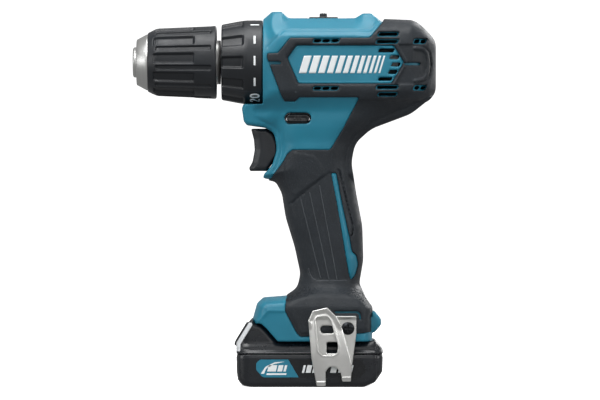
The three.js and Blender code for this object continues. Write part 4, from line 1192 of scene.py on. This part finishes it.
def make_pack():
    """The battery's lower and upper shells, and the pale strips down its front corners that paint the
    highlight there.
    """
    axes = x, y, z = grid((-43.5, -28.5, -0.2), (44, 28.5, 19), 0.5)
    cells = box_field(x, y, z, *CELL_ROOM, 1.7, 30)
    lower = both(pack_field(x, y, z), z - SEAM_Z + 0.15, -cells)
    moulded("pack_lower_shell", both(lower, -z), axes, "battery", "pack_plastic", "battery_case_lower")
    axes = x, y, z = grid((-43.5, -28.5, 18.8), (44, 28.5, 40.6), 0.5)
    upper = both(pack_field(x, y, z), SEAM_Z + 0.15 - z, -box_field(x, y, z, *CELL_ROOM, 1.7, 20.1))
    neck = box_field(x, y, z, -24, 25.2, -16.5, 16.5, 24, 31)
    rail = box_field(x, y, z, -24, 25.2, -20, 20, 31, 36.4)
    nose = extruded(PACK_SIDE, x, z) - 1.1
    nose = both(nose, np.abs(y) - 16, 24 - z, x + 17, z - 37.2)
    slots = [box_field(x, y, z, 12.5, 27, ty - 0.8, ty + 0.8, 31.6, 38) for ty in (-9, -3, 3, 9)]
    latch_room = box_field(x, y, z, -46, -37.2, -11.4, 11.4, 21.5, 42)
    upper = both(either(upper, nose, neck, rail), -either(latch_room, *slots))
    moulded("pack_upper_shell", upper, axes, "battery", "pack_plastic", "battery_case_upper")
    # Painted highlight: a pale strip down each front corner stands in for light glancing off the rounded
    # corner.
    axes = x, y, z = grid((-43.5, -28.5, 18.8), (-31, 28.5, 40.6), 0.3)
    line = stroke(*side_view(x, z), SLOPE)[:, None, :] - 1.3
    wall = pack_field(x, y, z)
    highlight_strip = both(wall - 0.2, -wall - 0.7, line, 12.4 - np.abs(y))
    moulded("slope_highlight_strip", highlight_strip, axes, "battery", "pack_plastic", look="highlight_strip_plastic")


def make_latch():
    axes = x, y, z = grid((-42.6, -11.4, 24), (-37.2, 11.4, 34), 0.3)
    shape = filleted([(-41.7, 24.5, 0.6), (-37.6, 24.5, 0.4), (-37.6, 32.6, 0.6), (-41.7, 26.4, 0.8)])
    side = extruded(shape, x, z)
    field = round_max(side, np.abs(y) - 11, 0.8)
    ribs = 0.45 * comb(z - 25.4, 1.5, 0.5) * smooth(9.5, 8.8, np.abs(y))
    field = field + ribs * smooth(-36, -39, x)
    moulded("latch_key", field, axes, "latch", "black_plastic", "latch_button")


def slanted(x, width, z0, z1, slope):
    """The corners of a bar that leans forwards at the top."""
    lean = (z1 - z0) * slope
    return (x, z0), (x + width, z0), (x + width + lean, z1), (x + lean, z1)


def panel_patch(name, corners, side):
    """A thin four-sided patch of print on the curved label panel: corners are (x, z)."""
    s = np.linspace(0, 1, 7)[:, None]
    t = np.linspace(0, 1, 13)[None, :]
    (ax, az), (bx, bz), (cx, cz), (dx, dz) = corners
    x = (1 - s) * (1 - t) * ax + s * (1 - t) * bx + s * t * cx + (1 - s) * t * dx
    z = (1 - s) * (1 - t) * az + s * (1 - t) * bz + s * t * cz + (1 - s) * t * dz
    y = wall_width(x, z) - 0.35
    outer = np.stack([x, side * (y + 0.08), z], -1).reshape(-1, 3)
    inner = np.stack([x, side * (y - 0.25), z], -1).reshape(-1, 3)
    rows, cols = x.shape
    a = (np.arange(rows - 1)[:, None] * cols + np.arange(cols - 1)[None, :]).ravel()
    outer_quads = np.stack([a, a + cols, a + cols + 1, a + 1], 1)
    count = rows * cols
    inner_quads = outer_quads[:, ::-1] + count
    loop = list(range(0, count - cols, cols)) + list(range(count - cols, count - 1))
    loop += list(range(count - 1, cols - 1, -cols)) + list(range(cols - 1, 0, -1))
    rim = [[p + count, q + count, q, p] for p, q in zip(loop, loop[1:] + loop[:1])]
    quads = np.concatenate([outer_quads, inner_quads, np.array(rim)])[:, ::-side]
    obj = make_object(name, np.concatenate([outer, inner]), quads, "white_print")
    settle(obj, "housing", "teal_plastic")


def make_panel_mark():
    """A plain mark on both label panels: slanted white bars that grow narrower."""
    for side, name in SIDES:
        x = -6.0
        for i, width in enumerate(np.linspace(4.4, 1.0, 12)):
            panel_patch(f"panel_bar_{name}_{i + 1}", slanted(x, width, 183.0, 193.2, 0.3), side)
            x += width + 1.36


def flat_plate(name, points, side, height, look):
    """A thin flat plate on the pack's side wall: points are (x, z)."""
    count = len(points)
    low, high = side * (PACK_HALF - 0.2), side * (PACK_HALF + height)
    vertices = [(x, y, z) for y in (low, high) for x, z in points]
    rim = [[i, (i + 1) % count, count + (i + 1) % count, count + i] for i in range(count)]
    faces = [list(range(count))[::-1], list(range(count, 2 * count))] + rim
    mesh = plain_mesh(name, vertices, faces, look)
    work = bmesh.new()
    work.from_mesh(mesh)
    bmesh.ops.triangulate(work, faces=[f for f in work.faces if len(f.verts) > 4])
    bmesh.ops.recalc_face_normals(work, faces=work.faces)
    work.to_mesh(mesh)
    work.free()
    settle(linked(name, mesh), "battery", "pack_plastic")


LABEL_PANEL = filleted([
    (-12, 5.8, 0), (29.5, 5.8, 3.4), (32.9, 9.1, 3.4), (32.9, 12.9, 3.4), (29.5, 16.2, 3.4),
    (-16, 16.2, 0),
])
LABEL_PLATE = filleted([
    (-26.9, 5.8, 2.4), (-6, 5.8, 0.3), (-12.2, 16.2, 0.3), (-28.4, 16.2, 2.6), (-30.8, 14.3, 2),
    (-30.8, 10.1, 2),
])
LABEL_SWOOSH = filleted([
    (-28.2, 7.9, 0.3), (-25.4, 12.1, 4), (-20, 14.6, 3), (-13.9, 15, 0.1), (-20.4, 13.5, 3),
    (-25, 11.1, 4), (-26.2, 7.9, 0.3),
])
# Slanted bars: x, width, z0, z1.
LABEL_BARS = (
    (-24.4, 5.0, 9.2, 12.9), (-18.6, 2.8, 9.2, 12.9), (-15.0, 1.4, 9.2, 12.9), (-24.9, 11.5, 7.2, 8.2),
    (-4.2, 1.3, 8.5, 12.9), (-2.0, 2.8, 8.5, 12.9), (1.7, 1.6, 8.5, 12.9), (12.2, 3.4, 8.5, 12.9),
    (16.8, 2.6, 8.5, 12.9), (20.6, 1.8, 8.5, 12.9), (23.6, 1.2, 8.5, 12.9),
)


def make_pack_label():
    """A label with a coloured plate and plain slanted bars, on both sides of the pack."""
    for side, name in SIDES:
        flat_plate(f"label_panel_{name}", LABEL_PANEL, side, 0.12, "label_panel")
        flat_plate(f"label_plate_{name}", LABEL_PLATE, side, 0.2, "label_plate")
        flat_plate(f"label_swoosh_{name}", LABEL_SWOOSH, side, 0.28, "white_print")
        for i, bar in enumerate(LABEL_BARS):
            flat_plate(f"label_bar_{name}_{i + 1}", slanted(*bar, 0.25), side, 0.28, "white_print")


# ------------------------------------------------------------------ everything else keeps its CAD shape


def dress_cad_nodes():
    for part in frame["record"]["subparts"]:
        node = frame["nodes"][part["node"]]
        node.data.materials.clear()
        node.data.materials.append(MATERIAL[part["material_slot"]])


PAPER = (241, 241, 241)
FLOOR_RADIUS, COVE_RADIUS, WALL_TOP = 5200, 1200, 7000


def make_stage():
    """A plain white studio bowl: a floor that curves up into a far wall all round."""
    bend = np.linspace(0, math.pi / 2, 13)
    curve = [(FLOOR_RADIUS + COVE_RADIUS * math.sin(a), COVE_RADIUS * (1 - math.cos(a))) for a in bend]
    run = [(600, 0), (2500, 0)] + curve + [(FLOOR_RADIUS + COVE_RADIUS, WALL_TOP)]
    turns = np.linspace(0, 2 * math.pi, 64, endpoint=False)
    vertices = [(0, 0, 0)] + [(r * math.cos(a), r * math.sin(a), z) for r, z in run for a in turns]
    count = len(turns)
    faces = [(0, 1 + i, 1 + (i + 1) % count) for i in range(count)]
    for ring in range(len(run) - 1):
        a, b = 1 + ring * count, 1 + (ring + 1) * count
        faces += [(a + i, b + i, b + (i + 1) % count, a + (i + 1) % count) for i in range(count)]
    f = Finish("studio_paper", PAPER, 0.9)
    f.bumped(f.noise(300, 2), 0.02)
    f.shader.inputs["Emission Color"].default_value = (1, 1, 1, 1)
    f.shader.inputs["Emission Strength"].default_value = 0.85
    MATERIAL["studio_paper"] = f.material
    mesh = plain_mesh("sweep", vertices, faces, "studio_paper")
    mesh.shade_smooth()
    obj = linked("sweep", mesh)
    obj.visible_diffuse = False
    obj.visible_glossy = False
    obj.visible_shadow = False


def area_light(name, place, size, power):
    data = bpy.data.lights.new(name, "AREA")
    data.shape = "RECTANGLE"
    data.size, data.size_y = size
    data.energy = power
    obj = linked(name, data)
    obj.location = place
    obj.rotation_euler = (Vector(CENTRE) - Vector(place)).to_track_quat("-Z", "Y").to_euler()


# Lights, in metres and watts: name, place, width and height, power.
LIGHTS = (
    ("key", (-0.55, -0.75, 1.15), (0.7, 0.5), 9.5),
    ("front", (0.35, -1.6, 0.55), (0.9, 0.7), 2.7),
    ("right", (1.2, -0.6, 0.45), (0.5, 0.5), 4.2),
    ("left", (-1.1, -0.64, 0.32), (0.45, 0.4), 2.4),
    ("top", (0.05, -0.1, 1.3), (0.9, 0.6), 10),
    ("back", (0.7, 1.3, 0.7), (0.8, 0.8), 10),
)
CENTRE = (0, 0, 0.12)  # what the lights point at
FRAME_WIDTH = 0.3528  # what the picture spans at the drill's middle plane
CAMERA_X, CAMERA_Z = -0.0053, 0.1091
LENS = 300.0
SENSOR = 36.0


def make_light_and_camera():
    scene = bpy.context.scene
    world = bpy.data.worlds.new("studio")
    world.use_nodes = True
    background = world.node_tree.nodes["Background"]
    background.inputs["Color"].default_value = (1, 1, 1, 1)
    space = world.node_tree.nodes.new("ShaderNodeTexCoord").outputs["Generated"]
    split = world.node_tree.nodes.new("ShaderNodeSeparateXYZ")
    ramp = world.node_tree.nodes.new("ShaderNodeMapRange")
    set_range(ramp, -0.6, 0.8, 0.33, 0.4)
    world.node_tree.links.new(space, split.inputs["Vector"])
    world.node_tree.links.new(split.outputs["Z"], ramp.inputs["Value"])
    world.node_tree.links.new(ramp.outputs["Result"], background.inputs["Strength"])
    scene.world = world
    for light in LIGHTS:
        area_light(*light)
    camera_data = bpy.data.cameras.new("camera")
    camera_data.lens = LENS
    camera_data.sensor_width = SENSOR
    camera = linked("camera", camera_data)
    camera.location = (CAMERA_X, -FRAME_WIDTH * LENS / SENSOR, CAMERA_Z)
    camera.rotation_euler = (math.pi / 2, 0, 0)
    scene.camera = camera
    scene.view_settings.view_transform = "Standard"


make_light_and_camera()
dress_cad_nodes()
for side, side_name in SIDES:
    half_housing(side, side_name)
make_chuck()
make_ring_print()
make_trigger()
make_direction_button()
make_button_bezel()
make_selector()
make_lens()
make_clip()
make_clip_screw()
make_case_screws()
make_pack()
make_latch()
make_panel_mark()
make_pack_label()
make_stage()
